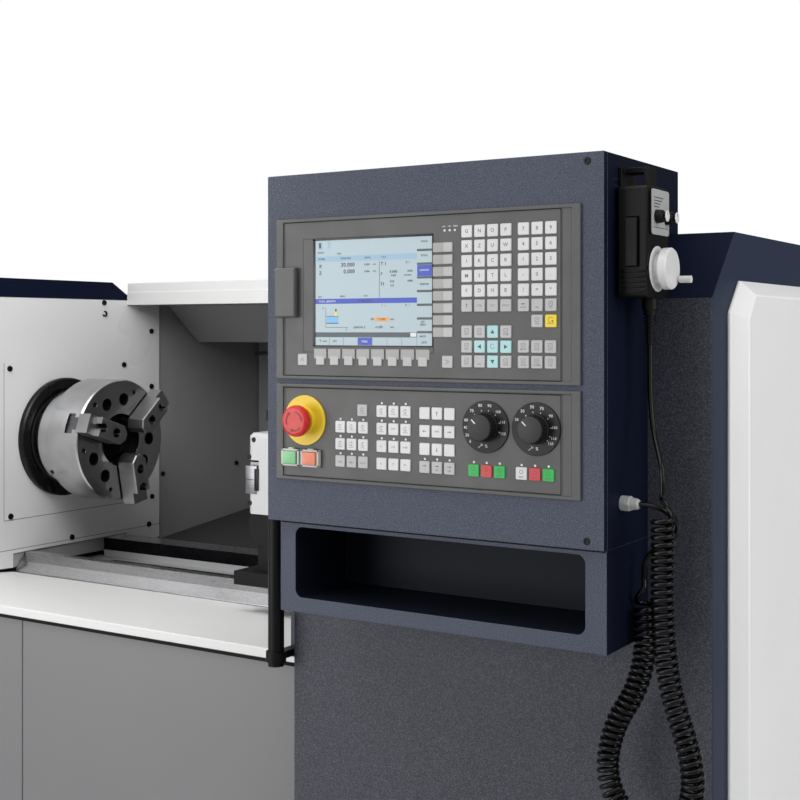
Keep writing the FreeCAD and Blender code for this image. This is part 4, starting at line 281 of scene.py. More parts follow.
# Grey lines for the wall plate's seams, drawn as the shadow along its edges: painted shadow.
SEAM_SHADOW_GREY = printed("painted shadow of the wall plate's seams", 0.20)
SCREEN_GROUND = printed("screen ground", (0.42, 0.52, 0.57), 0.06)
SCREEN_BAND = printed("screen pale band", (0.30, 0.46, 0.60), 0.06)
SCREEN_BLUE = printed("screen blue band", (0.02, 0.06, 0.44), 0.1)
SCREEN_DARK = printed("screen dark band", (0.055, 0.075, 0.09))
SCREEN_CYAN = printed("screen workpiece", (0.16, 0.42, 0.70), 0.15)
SCREEN_YELLOW = printed("screen tool", (0.75, 0.60, 0.03), 0.15)
SCREEN_ORANGE = printed("screen field", (0.80, 0.30, 0.01), 0.15)
glass = Finish("window glass", (0.55, 0.60, 0.60), 0.05, Transmission_Weight=0.9, IOR=1.5, Alpha=0.55)
glass.tint(glass.noise(0.3), (0.50, 0.56, 0.57))
WINDOW = glass.material

# ---------------------------------------------------------------- outlines


def arc(radius, angles):
    """Points of a circle at these angles, in radians."""
    return [(radius * math.cos(a), radius * math.sin(a)) for a in angles]


def circle(radius, count, start=0.0):
    return arc(radius, [start + 2 * math.pi * k / count for k in range(count)])


def band(inner, outer, start, end):
    """Part of a flat ring from one angle to another, in degrees."""
    angles = [math.radians(start + (end - start) * k / 10) for k in range(11)]
    return arc(outer, angles) + arc(inner, angles[::-1])


def ribbed(radius, ribs, depth):
    """A knurled knob's outline."""
    return [arc(radius - depth * (k % 2), [math.pi * k / ribs])[0] for k in range(2 * ribs)]


def rectangle(width, height, corner=0.0, steps=4):
    """A rectangle's outline round the origin, its corners rounded."""
    x, y = width / 2, height / 2
    if not corner:
        return [(-x, -y), (x, -y), (x, y), (-x, y)]
    outline = []
    for quarter, (sx, sy) in enumerate([(1, -1), (1, 1), (-1, 1), (-1, -1)]):
        angles = [math.radians(-90 + 90 * quarter + 90 * k / steps) for k in range(steps + 1)]
        outline += [(sx * (x - corner) + dx, sy * (y - corner) + dy) for dx, dy in arc(corner, angles)]
    return outline


def strip(a, b, width):
    """A thin straight mark from a to b."""
    along = (Vector((*b, 0)) - Vector((*a, 0))).normalized()
    x, y = -along.y * width / 2, along.x * width / 2
    return [(a[0] - x, a[1] - y), (b[0] - x, b[1] - y), (b[0] + x, b[1] + y), (a[0] + x, a[1] + y)]


def turned_by(outline, degrees):
    c, s = math.cos(math.radians(degrees)), math.sin(math.radians(degrees))
    return [(c * x - s * y, s * x + c * y) for x, y in outline]


def on_face(outline, base, facing):
    """An outline's points in space, on a face round base."""
    across, up = facing
    return [Vector(base) + across * x + up * y for x, y in outline]


ARROW = [(-2.6, -0.35), (0.6, -0.35), (0.6, -1.3), (2.8, 0), (0.6, 1.3), (0.6, 0.35), (-2.6, 0.35)]
TRIANGLE = [(-2.0, -2.6), (2.4, 0), (-2.0, 2.6)]

# ---------------------------------------------------------------- making of pieces


def settle(mesh, name, finishes, body, stands_for=()):
    """Gives a mesh its finishes and lets it ride on a body."""
    mesh.name = name
    for finish in finishes:
        mesh.materials.append(finish)
    mesh.shade_smooth()
    mesh.set_sharp_from_angle(angle=math.radians(30))
    piece = new_object(name, mesh)
    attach(piece, body)
    if stands_for:
        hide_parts(*stands_for)
    return piece


class Form:
    """Shapes gathered in one mesh, each with its own finish. Sizes in mm."""

    def __init__(self):
        self.bm = bmesh.new()
        self.finishes = []

    def add(self, part, finish):
        if finish not in self.finishes:
            self.finishes.append(finish)
        for face in part.faces:
            face.material_index = self.finishes.index(finish)
        carrier = bpy.data.meshes.new("carrier")
        part.to_mesh(carrier)
        part.free()
        self.bm.from_mesh(carrier)
        bpy.data.meshes.remove(carrier)

    def shell(self, rings, finish, edge=0.0):
        """Rings of points, the last of which may be a single point, joined to a closed shape."""
        part = bmesh.new()
        rings = [[part.verts.new(point) for point in ring] for ring in rings]
        if len(rings[-1]) > 1:
            part.faces.new(rings[-1])
        part.faces.new(rings[0][::-1])
        for first, second in zip(rings, rings[1:]):
            for k in range(len(first)):
                follower = (k + 1) % len(first)
                far = (second[follower], second[k]) if len(second) > 1 else second
                part.faces.new((first[k], first[follower], *far))
        bmesh.ops.recalc_face_normals(part, faces=part.faces)
        if edge:
            corners = [e for e in part.edges if e.calc_face_angle(0) > 0.5]
            rounding = {"offset": edge, "segments": 2, "profile": 0.5, "clamp_overlap": True}
            bmesh.ops.bevel(part, geom=corners, affect="EDGES", **rounding)
        self.add(part, finish)

    def prism(self, outline, base, facing, depth, finish, edge=0.0, taper=1.0):
        """An outline that stands out of a face by depth."""
        across, up = facing
        out = across.cross(up)
        rings = [
            [Vector(base) + (across * x + up * y) * factor + out * height for x, y in outline]
            for height, factor in ((0.0, 1.0), (depth, taper))
        ]
        self.shell(rings, finish, edge)

    def block(self, low, high, finish, edge):
        """A box between two corners."""
        low, high = Vector(low), Vector(high)
        size = high - low
        middle = ((low.x + high.x) / 2, (low.y + high.y) / 2, low.z)
        self.prism(rectangle(size.x, size.y), middle, TOP, size.z, finish, edge)

    def turned(self, profile, base, axis, finish, sides=32):
        """A profile of (along, radius) points turned round an axis."""
        axis = Vector(axis).normalized()
        across = axis.orthogonal().normalized()
        facing = (across, axis.cross(across))
        rings = []
        for along, radius in profile:
            outline = circle(radius, sides) if radius else [(0, 0)]
            rings.append(on_face(outline, Vector(base) + axis * along, facing))
        self.shell(rings, finish)

    def flat(self, outline, base, facing, finish):
        """One printed face."""
        part = bmesh.new()
        part.faces.new([part.verts.new(point) for point in on_face(outline, base, facing)])
        self.add(part, finish)

    def line(self, points, width, base, facing, finish, closed=False):
        """A printed line along points."""
        for a, b in zip(points, points[1:] + points[:1] if closed else points[1:]):
            self.flat(strip(a, b, width), base, facing, finish)

    def done(self, name, body, stands_for=()):
        mesh = bpy.data.meshes.new(name)
        bmesh.ops.scale(self.bm, vec=(MM, MM, MM), verts=self.bm.verts)
        self.bm.to_mesh(mesh)
        self.bm.free()
        settle(mesh, name, self.finishes, body, stands_for)


def middle_of(name):
    """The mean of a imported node's corners, in mm."""
    corners = [v.co / MM for v in nodes[name].data.vertices]
    return sum(corners, Vector()) / len(corners)


def finished(name, finish, edge=0.0, areas=(), cuts=()):
    """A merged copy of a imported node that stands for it, with broken edges and its areas' finishes.

    An area is a finish and a test on a face's middle (mm) and normal. The faces are cut at the
    levels in cuts first, so that an area can end there.
    """
    whole = bmesh.new()
    whole.from_mesh(nodes[name].data)
    bmesh.ops.remove_doubles(whole, verts=whole.verts, dist=1e-6)
    for level in cuts:
        everything = [*whole.verts, *whole.edges, *whole.faces]
        bmesh.ops.bisect_plane(whole, geom=everything, plane_co=(0, 0, level * MM), plane_no=(0, 0, 1))
    if edge:
        free = [
            e for e in whole.edges
            if not any(all(abs(v.co.z - level * MM) < 1e-6 for v in e.verts) for level in cuts)
        ]
        bmesh.ops.dissolve_limit(whole, angle_limit=math.radians(0.4), verts=list(whole.verts), edges=free)
    whole.verts.index_update()
    bare = bpy.data.meshes.new(name)
    corners = [tuple(v.co) for v in whole.verts]
    bare.from_pydata(corners, [], [[v.index for v in face.verts] for face in whole.faces])
    chosen = []
    for face in whole.faces:
        middle = face.calc_center_median() / MM
        fitting = (k for k, (_, wanted) in enumerate(areas, 1) if wanted(middle, face.normal))
        chosen.append(next(fitting, 0))
    bare.polygons.foreach_set("material_index", chosen)
    whole.free()
    finishes = [finish, *(area[0] for area in areas)]
    piece = settle(bare, name + "_finished", finishes, body_of_node[name], (name,))
    if edge:
        bevel = piece.modifiers.new("broken edges", "BEVEL")
        bevel.width = edge * MM
        bevel.segments = 2
        bevel.limit_method = "ANGLE"
        bevel.angle_limit = math.radians(32)
        bevel.use_clamp_overlap = False
        bevel.harden_normals = True


# ---------------------------------------------------------------- patterns of repeated parts


class Pattern:
    """A Geometry Nodes tree with named sizes that sets one shape on every place."""

    def __init__(self, name, sizes):
        self.group = bpy.data.node_groups.new(name, "GeometryNodeTree")
        self.socket("Places", "Geometry")
        self.sizes = []
        for label, value in sizes.items():
            whole = isinstance(value, int)
            made = self.socket(label, "Int" if whole else "Float")
            made.default_value = value
            self.sizes.append((made.identifier, 1 if whole or label in ("Socket", "Slant") else MM))
        self.finish = self.socket("Finish", "Material").identifier
        self.socket("Geometry", "Geometry", "OUTPUT")
        self.given = self.node("NodeGroupInput")

    def socket(self, label, kind, side="INPUT"):
        return self.group.interface.new_socket(label, in_out=side, socket_type="NodeSocket" + kind)

    def node(self, kind, inputs=(), **settings):
        return add_node(self.group, kind, inputs, **settings)

    def times(self, label, factor):
        return self.node("ShaderNodeMath", {0: self.given[label], 1: factor}, operation="MULTIPLY")[0]

    def close(self, shape):
        """Sets the shape on the places, turned to their facing, and ends the tree."""
        facing = self.node("GeometryNodeInputNamedAttribute", {"Name": "facing"}, data_type="FLOAT_VECTOR")
        turned = self.node("FunctionNodeAlignRotationToVector", {"Vector": facing["Attribute"]}, axis="Z")
        copies = self.node(
            "GeometryNodeInstanceOnPoints",
            {"Points": self.given["Places"], "Instance": shape, "Rotation": turned["Rotation"]},
        )
        solid = self.node("GeometryNodeRealizeInstances", {"Geometry": copies["Instances"]})
        inputs = {"Geometry": solid["Geometry"], "Material": self.given["Finish"]}
        coloured = self.node("GeometryNodeSetMaterial", inputs)
        self.node("NodeGroupOutput", {"Geometry": coloured["Geometry"]})
        return self


def screw_pattern():
    """Round heads with a socket."""
    sizes = {"Radius": 0.004, "Height": 0.003, "Socket": 0.5, "Depth": 0.0015, "Sides": 20}
    pattern = Pattern("screw heads", sizes)
    node, given = pattern.node, pattern.given
    inputs = {"Vertices": given["Sides"], "Radius": given["Radius"], "Depth": given["Height"]}
    head = node("GeometryNodeMeshCylinder", inputs)
    lift = node("ShaderNodeCombineXYZ", {"Z": pattern.times("Height", 0.5)})
    raised = node("GeometryNodeSetPosition", {"Geometry": head["Mesh"], "Offset": lift[0]})
    inputs = {"Geometry": raised["Geometry"], "Selection": head["Top"], "Scale": 0.86}
    rim = node("GeometryNodeScaleElements", inputs)
    inputs = {"Mesh": rim["Geometry"], "Selection": head["Top"], "Offset Scale": 0.0}
    inner = node("GeometryNodeExtrudeMesh", inputs)
    inputs = {"Geometry": inner["Mesh"], "Selection": inner["Top"], "Scale": given["Socket"]}
    narrow = node("GeometryNodeScaleElements", inputs)
    inputs = {
        "Mesh": narrow["Geometry"], "Selection": inner["Top"], "Offset Scale": pattern.times("Depth", -1.0)
    }
    return pattern.close(node("GeometryNodeExtrudeMesh", inputs)["Mesh"])


def key_pattern():
    """Keys with rounded corners and slanted sides."""
    sizes = {"Width": 0.012, "Height": 0.012, "Corner": 0.0012, "Rise": 0.001, "Slant": 0.93}
    pattern = Pattern("keys", sizes)
    node, given = pattern.node, pattern.given
    inputs = {"Width": given["Width"], "Height": given["Height"]}
    outline = node("GeometryNodeCurvePrimitiveQuadrilateral", inputs)
    inputs = {"Curve": outline["Curve"], "Count": 3, "Radius": given["Corner"]}
    soft = node("GeometryNodeFilletCurve", inputs, mode="POLY")
    face = node("GeometryNodeFillCurve", {"Curve": soft["Curve"]}, mode="NGONS")
    inputs = {"Mesh": face["Mesh"], "Offset Scale": given["Rise"], "Individual": False}
    raised = node("GeometryNodeExtrudeMesh", inputs)
    inputs = {"Geometry": raised["Mesh"], "Selection": raised["Top"], "Scale": given["Slant"]}
    return pattern.close(node("GeometryNodeScaleElements", inputs)["Geometry"])


SCREWS = screw_pattern()
KEYS = key_pattern()


def set_out(pattern, name, places, facing, finish, body, sizes, stands_for=()):
    """Runs a pattern on its places and keeps the result as a plain mesh. Places and sizes in mm."""
    carrier = bpy.data.meshes.new(name + " places")
    carrier.from_pydata([Vector(p) * MM for p in places], [], [])
    out = facing[0].cross(facing[1])
    carrier.attributes.new("facing", "FLOAT_VECTOR", "POINT").data.foreach_set("vector", [*out] * len(places))
    holder = new_object(name + " places", carrier)
    modifier = holder.modifiers.new("pattern", "NODES")
    modifier.node_group = pattern.group
    for (key, unit), value in zip(pattern.sizes, sizes):
        modifier[key] = value * unit
    modifier[pattern.finish] = finish
    bpy.context.view_layer.update()
    evaluated = holder.evaluated_get(bpy.context.evaluated_depsgraph_get())
    mesh = bpy.data.meshes.new_from_object(evaluated)
    bpy.data.objects.remove(holder)
    bpy.data.meshes.remove(carrier)
    mesh.materials.clear()
    settle(mesh, name, [finish], body, stands_for)


def screws(name, places, facing, body, sizes):
    """Black screws: radius, height, socket's share of the radius, its depth, sides."""
    set_out(SCREWS, name, places, facing, BLACK_PARTS_AND_HOLLOW_SHADE, body, sizes)


# ---------------------------------------------------------------- camera, floor and lamps

camera = new_object("camera", bpy.data.cameras.new("camera"))
camera.location = (1.6375, -2.006, 1.360)
camera.rotation_euler = (math.radians(90), 0, math.radians(32.2))
camera.data.sensor_width = 36
camera.data.lens = 59.04
camera.data.shift_y = -0.08625
camera.data.clip_start = 0.05
bpy.context.scene.camera = camera


def studio_floor():
    """A pale floor that keeps the shadow near the machine and runs out to white."""
    finish = Finish("studio floor", 0.80, 0.9, Specular_IOR_Level=0.1)
    fade = finish.spread(finish.distance(finish.place()), 0.0, 1.0, 2.2, 4.2)
    rays = finish.node("ShaderNodeLightPath")
    inputs = {0: rays["Is Camera Ray"], 1: rays["Is Transmission Ray"]}
    seen = finish.node("ShaderNodeMath", inputs, operation="ADD")[0]
    factor = finish.node("ShaderNodeMath", {0: fade, 1: seen}, operation="MULTIPLY", use_clamp=True)[0]
    white = finish.node("ShaderNodeEmission", {"Color": (1, 1, 1, 1), "Strength": 1.0})["Emission"]
    inputs = {0: factor, 1: finish.shader.outputs["BSDF"], 2: white}
    mixed = finish.node("ShaderNodeMixShader", inputs)["Shader"]
    output = next(n for n in finish.tree.nodes if n.type == "OUTPUT_MATERIAL")
    finish.tree.links.new(mixed, output.inputs["Surface"])
    mesh = bpy.data.meshes.new("floor")
    mesh.from_pydata([(x, y, 0) for x, y in rectangle(60, 60)], [], [(0, 1, 2, 3)])
    mesh.materials.append(finish.material)
    new_object("floor", mesh)


def lamp(name, place, aim, width, height, watts):
    """A softbox that points at aim."""
    data = bpy.data.lights.new(name, "AREA")
    data.shape = "RECTANGLE"
    data.size = width
    data.size_y = height
    data.energy = watts
    box = new_object(name, data)
    box.location = place
    box.rotation_euler = (Vector(aim) - Vector(place)).to_track_quat("-Z", "Y").to_euler()


def studio_light():
    """A white surround for the camera, glass and gloss, and a plain level of light."""
    world = bpy.data.worlds.new("studio")
    bpy.context.scene.world = world
    world.use_nodes = True
    world.node_tree.nodes.clear()

    def node(kind, inputs=(), **settings):
        return add_node(world.node_tree, kind, inputs, **settings)

    rays = node("ShaderNodeLightPath")
    inputs = {0: node("ShaderNodeTexCoord")["Generated"], 1: (-0.62, -0.62, 0.48)}
    lit_side = node("ShaderNodeVectorMath", inputs, operation="DOT_PRODUCT")["Value"]
    inputs = {"Value": lit_side, "From Min": -0.5, "From Max": 0.75, "To Min": 0.14, "To Max": 1.0}
    gloss_level = node("ShaderNodeMapRange", inputs)["Result"]
    inputs = {0: rays["Is Camera Ray"], 1: rays["Is Transmission Ray"]}
    clear = node("ShaderNodeMath", inputs, operation="MAXIMUM")[0]
    level = node("ShaderNodeMix", {0: rays["Is Glossy Ray"], 2: 0.30, 3: gloss_level})[0]
    level = node("ShaderNodeMix", {0: clear, 2: level, 3: 1.0})[0]
    background = node("ShaderNodeBackground", {"Color": (1, 1, 1, 1), "Strength": level})
    node("ShaderNodeOutputWorld", {"Surface": background["Background"]})
    lamp("left softbox", (-1.0, -3.0, 1.25), (0.85, -0.68, 1.25), 2.0, 1.9, 44)
    lamp("top softbox", (0.6, -1.4, 3.4), (0.2, -0.1, 1.0), 2.6, 2.0, 30)
    lamp("right softbox", (3.2, -0.6, 1.9), (1.1, 0.1, 0.9), 1.8, 1.8, 30)
    lamp("work space lamp", (0.15, -0.75, 1.85), (-0.35, 0.1, 1.0), 0.5, 0.5, 7)


bpy.context.scene.view_settings.view_transform = "Standard"
studio_floor()
studio_light()

# ---------------------------------------------------------------- cord of the hand unit

# The routes, in mm: strain relief to curls, the curls, curls to gland.
LEAD = [
    (1092, -615, 1344.5), (1092, -615, 1312), (1093.5, -617, 1278), (1100, -625, 1248), (1112, -639, 1224),
    (1119.5, -648, 1206), (1119.5, -648, 1188),
]
CURLS = [
    (1119.5, -648, 1188), (1119.5, -648, 1110), (1119, -647, 1035), (1127, -643, 965), (1146, -636, 905),
    (1148.5, -629, 858), (1131.8, -620, 817.7), (1091.5, -613, 801), (1051.2, -609, 817.7),
    (1034.5, -607, 858), (1046, -606, 912), (1072, -606, 952), (1084, -606, 1000), (1081.5, -606, 1045),
    (1081.5, -606, 1084),
]
TAIL = [
    (1081.5, -606, 1084), (1081.5, -606, 1099), (1091, -602.5, 1113), (1107, -601.5, 1122),
    (1120, -606, 1134), (1125.5, -616, 1146), (1120, -626, 1158), (1106, -635, 1168), (1088, -635, 1168),
]
CABLE = 6.0
CURL_RADIUS = 10.3
CURL_PITCH = 8.5
STEPS_A_TURN = 14
# The straight stretch at each end of the curls, over which their radius grows from nothing.
LEAD_IN = CABLE + 26


def cable_spline(name, points):
    """A curve of one smooth open spline on these points (mm)."""
    curve = bpy.data.curves.new(name, "CURVE")
    curve.dimensions = "3D"
    spline = curve.splines.new("NURBS")
    spline.points.add(len(points) - 1)
    for point, where in zip(spline.points, points):
        point.co = (*(Vector(where) * MM), 1)
    spline.order_u = 3
    spline.use_endpoint_u = True
    return curve


def line_of(points):
    """Points along the smooth line of a route (mm)."""
    curve = cable_spline("guide", points)
    curve.resolution_u = 24
    holder = new_object("guide", curve)
    bpy.context.view_layer.update()
    mesh = bpy.data.meshes.new_from_object(holder.evaluated_get(bpy.context.evaluated_depsgraph_get()))
    line = [v.co / MM for v in mesh.vertices]
    bpy.data.objects.remove(holder)
    bpy.data.meshes.remove(mesh)
    return line


def curls_round(line):
    """The helix round a line, as points of the cable itself."""
    lengths = [0.0]
    for a, b in zip(line, line[1:]):
        lengths.append(lengths[-1] + (b - a).length)
    total = lengths[-1]
    wound = total - 2 * LEAD_IN
    steps = int(wound / CURL_PITCH) * STEPS_A_TURN
    # A spline of this order runs inside its points, so these lie a little further out.
    swell = 1 / (0.75 + 0.25 * math.cos(2 * math.pi / STEPS_A_TURN))
    across = None
    at = 0
    ramp = STEPS_A_TURN // 2
    points = []
    for index in range(-ramp, steps + ramp + 1):
        if index < 0:
            along = LEAD_IN * (1 + index / ramp) if index > -ramp else 0.0
            along = max(along, 0.4 * LEAD_IN * (index + ramp) / ramp + CABLE)
        elif index > steps:
            along = total - LEAD_IN + (LEAD_IN - CABLE) * (index - steps) / ramp
        else:
            along = LEAD_IN + wound * index / steps
        while at < len(lengths) - 2 and lengths[at + 1] < along:
            at += 1
        share = (along - lengths[at]) / (lengths[at + 1] - lengths[at])
        heading = (line[at + 1] - line[at]).normalized()
        if across is None:
            across = heading.cross(Vector((0, 1, 0)))
        across = (across - heading * across.dot(heading)).normalized()
        side = heading.cross(across)
        angle = 2 * math.pi * index / STEPS_A_TURN
        beyond = max(-index, index - steps, 0) / ramp
        radius = CURL_RADIUS * swell * (1 - beyond) ** 0.8
        turned = (across * math.cos(angle) + side * math.sin(angle)) * radius
        points.append(line[at].lerp(line[at + 1], share) + turned)
    return points


def hand_unit_cord():
    points = [*LEAD, *curls_round(line_of(CURLS)), *TAIL]
    curve = cable_spline("hand_unit_cord", points)
    curve.resolution_u = 3
    curve.bevel_depth = CABLE / 2 * MM
    curve.bevel_resolution = 3
    curve.use_fill_caps = True
    curve.materials.append(RUBBER)
    cord = new_object("hand_unit_cord", curve)
    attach(cord, "machine")
    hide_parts("cord_lead", "cord_curls", "cord_tail")


# ---------------------------------------------------------------- finishes on the imported nodes

# Levels in mm: the foot of the front way's upper facets in painted shade, the foot of the rear way's painted
# dark reflection, the foot of the smooth cap, the x of the chuck's face.
WAY_SPLIT = 876.0
REFLECTION_FOOT = 866.0
CAP_FOOT = 1431.0
CHUCK_FACE = -343.5


def chuck_hollow_shade(p, n):
    """Bores, slots and their floors, painted black as shade."""
    away = math.hypot(p.y - SPINDLE_Y, p.z - SPINDLE_Z)
    floor = n.x > 0.9 and p.x < CHUCK_FACE and away < 124
    wall = abs(n.x) < 0.4 and away < 100 and p.x > -440
    return p.x > -450 and (floor or wall)


def jaw_bore_shade(name):
    """The screws' bores in a top jaw are painted black, as shade."""
    middle = middle_of(name)
    outward = Vector((0, middle.y - SPINDLE_Y, middle.z - SPINDLE_Z)).normalized()
    aside = Vector((1, 0, 0)).cross(outward)

    def shaded_bore(p, n):
        slanting = min(abs(n.dot(outward)), abs(n.dot(aside))) > 0.12
        return abs(n.x) < 0.3 and slanting and abs((p - middle).dot(aside)) < 9

    return [(BLACK_PARTS_AND_HOLLOW_SHADE, shaded_bore)]


# The ways are ground, the front way's upper facets are painted shade, the rear way's side is painted black as
# its dark reflection above a lighter strip, the casting is painted.
BED_AREAS = [
    # The front way's upper facets: painted shade.
    (SHADED_WAY_AND_LINES, lambda p, n: p.y < -42 and p.z > WAY_SPLIT and n.z < 0.9),
    (WAY_STEEL, lambda p, n: (p.y < -42 and p.z > 852) or (p.y > 150 and p.z > 889)),
    (BLACK_COVER_AND_REFLECTION, lambda p, n: p.y > 100 and p.z > REFLECTION_FOOT and n.y < 0.5),
    (STRIP_LIGHT, lambda p, n: p.y > 100 and 842 < p.z < REFLECTION_FOOT and n.y < -0.5),
]
# The chuck's bores and slots are painted black as shade, and its face takes the darker steel, painted shade.
CHUCK_AREAS = [(BLACK_PARTS_AND_HOLLOW_SHADE, chuck_hollow_shade), (SHADED_FACE_STEEL, lambda p, n: n.x > 0.9 and p.x > CHUCK_FACE)]
# The guard's inner side is the grey left wall of the work space. Its cap is smooth.
HEADSTOCK_COVER_AREAS = [
    (CAP_BLUE, lambda p, n: p.z > CAP_FOOT),
    (WALL_GREY, lambda p, n: n.x > 0.9 and -520 < p.x < -514),
]
# The head of the guard and its outer frame are smooth, the field is textured.
FRONT_GUARD_AREAS = [
    (FRAME_BLUE, lambda p, n: n.x > 0.2 and p.x > 1000),
    (CAP_BLUE, lambda p, n: p.z > 1380),
]
# The inner skins of the rear guard are grey, the chip guide under them is darker.
REAR_GUARD_AREAS = [
    (GUIDE_GREY, lambda p, n: n.z > 0.3 and p.z < 1300),
    (WALL_GREY, lambda p, n: n.y < -0.3 or n.z < -0.3),
]
# The cabinet's faces towards +X take the darker navy: painted shade.
SHADED_SIDE_AREAS = [(SHADED_SIDE_NAVY, lambda p, n: n.x > 0.9)]
# Inside the pocket is painted shade, and its side towards +X is the painted shade of the cabinet's side.
SHADED_POCKET_AREAS = [
    (POCKET_SHADE, lambda p, n: p.y > -655 and 622 < p.x < 1065 and 1007 < p.z < 1119),
    (SHADED_SIDE_NAVY, lambda p, n: n.x > 0.9 and p.x > 1065),
]


def whole_machine():
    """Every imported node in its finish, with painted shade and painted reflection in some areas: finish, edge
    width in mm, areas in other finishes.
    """
    plain = {
        "base_frame": (BASE_GREY, 1.2),
        "levelling_feet": (BLACK_PARTS_AND_HOLLOW_SHADE,),
        "bed": (CASTING_GREY, 0.8, BED_AREAS, (WAY_SPLIT, REFLECTION_FOOT)),
        "front_sill": (SHEET_WHITE, 0.8),
        "screw_cover": (BLACK_COVER_AND_REFLECTION, 0.4),
        "feed_screw": (SHAFT_STEEL,),
        "headstock_casting": (CASTING_GREY, 2.0),
        "spindle": (SHAFT_STEEL,),
        "spindle_motor": (BLACK_PARTS_AND_HOLLOW_SHADE,),
        "headstock_cover": (CABINET_BLUE, 1.2, HEADSTOCK_COVER_AREAS, (CAP_FOOT,)),
        "side_plate": (PLATE_LIGHT, 0.5),
        "bearing_ring": (RING_BLACK,),
        "chuck_body": (CHUCK_STEEL, 0, CHUCK_AREAS),
        "saddle": (CASTING_GREY, 1.0),
        "cross_slide": (SLIDE_BLACK, 0.8),
        "turret_head": (POST_WHITE,),
        "cutting_tool": (TOOL_STEEL, 0.4),
        "tailstock_body": (CASTING_GREY, 1.5),
        "quill": (SHAFT_STEEL,),
        "tailstock_wheel": (SHAFT_STEEL,),
        "front_guard": (GUARD_BLUE, 1.2, FRONT_GUARD_AREAS),
        "end_cover": (COVER_WHITE, 1.6),
        "rear_guard": (FRAME_BLUE, 1.0, REAR_GUARD_AREAS),
        "top_beam": (BEAM_WHITE, 0.8),
        "hood_leaf_front": (GUARD_BLUE, 0.8),
        "hood_leaf_rear": (GUARD_BLUE, 0.8),
        "window_front": (WINDOW,),
        "window_rear": (WINDOW,),
        "door_handle": (UNIT_BLACK,),
        "cabinet_shell": (CABINET_BLUE, 1.2, SHADED_SIDE_AREAS),
        "cabinet_door": (CABINET_BLUE, 1.0, SHADED_SIDE_AREAS),
        "pocket_box": (CABINET_BLUE, 1.0, SHADED_POCKET_AREAS),
        "operator_panel": (PANEL_GREY, 0.8),
        "machine_panel": (PANEL_GREY, 0.8),
        "screen": (PANEL_GREY,),
        "usb_cover": (PANEL_GREY, 0.5),
        "stop_disc": (STOP_YELLOW,),
        "unit_bracket": (UNIT_BLACK, 0.6),
        "unit_body": (UNIT_BLACK, 1.6),
        "unit_wheel": (WHEEL_SILVER,),
        "axis_knob": (UNIT_BLACK,),
        "step_knob": (UNIT_BLACK,),
        "enable_bar": (UNIT_BLACK, 0.8),
        "strain_relief": (UNIT_BLACK,),
        "cable_gland": (GLAND_GREY, 0.4),
    }
    for number in "123":
        plain["master_jaw_" + number] = (MASTER_STEEL,)
        plain["top_jaw_" + number] = (JAW_STEEL, 0, jaw_bore_shade("top_jaw_" + number))
    for name, details in plain.items():
        finished(name, *details)


whole_machine()
hand_unit_cord()

# ---------------------------------------------------------------- operator panel

# Lower left corners of the two panels, the ground of their fields, and the heights of print on them.
PANEL = (622, 1300)
LOWER = (622, 1174)
FIELD_Y = -685.9
GROOVE_Y = {PANEL: -686.95, LOWER: -687.33}
KEY_RISE = 1.4
KEY_TOP = FIELD_Y - KEY_RISE - 0.05
SCREEN_Y = -685.85


def grid(corner, across, up, columns=1, rows=1, pitch_across=0.0, pitch_up=0.0):
    """Places of keys on a panel, row by row from the lowest."""
    return [
        (corner[0] + across + c * pitch_across, FIELD_Y, corner[1] + up + r * pitch_up)
        for r in range(rows)
        for c in range(columns)
    ]


LETTERS = grid(PANEL, 275.5, 89.1, 4, 6, 16.87, 17.13)
NUMBERS = grid(PANEL, 348.4, 89.1, 3, 6, 16.95, 17.15)
EDITING = grid(PANEL, 365.3, 71.2, 2, 1, 17)
CURSOR = grid(PANEL, 275.5, 25.1, 4, 3, 16.87, 17.05)
AREAS = grid(PANEL, 348.4, 25.2, 3, 2, 16.7, 17.4)
SIDE_KEYS = grid(PANEL, 244.3, 58.5, 1, 8, 0, 14.15)
FOOT_KEYS = grid(PANEL, 68.1, 23.8, 8, 1, 21.14)
TURN_KEYS = grid(PANEL, 41.2, 24.4) + grid(PANEL, 249.7, 24.1)
FIRST_GROUP = grid(LOWER, 98.3, 27, 3, 3, 16.75, 20.95)
SINGLE_KEY = grid(LOWER, 130.8, 90)
SECOND_GROUP = grid(LOWER, 158.5, 26.8, 3, 4, 16.9, 21)
THIRD_GROUP = grid(LOWER, 218.8, 26.2, 3, 4, 16.8, 21.1)
FEED_KEYS = grid(LOWER, 284.6, 26, 3, 1, 16.75)
SPINDLE_KEYS = grid(LOWER, 345.8, 26, 3, 1, 16.75)


def keys(name, places, finish, sizes, aside=0.0, up=0.0):
    """Keys of one kind: width, height, corner, rise and slant."""
    places = [(x + aside, y, z + up) for x, y, z in places]
    set_out(KEYS, name, places, FRONT, finish, "cabinet_leaf", sizes, ("keypads",))


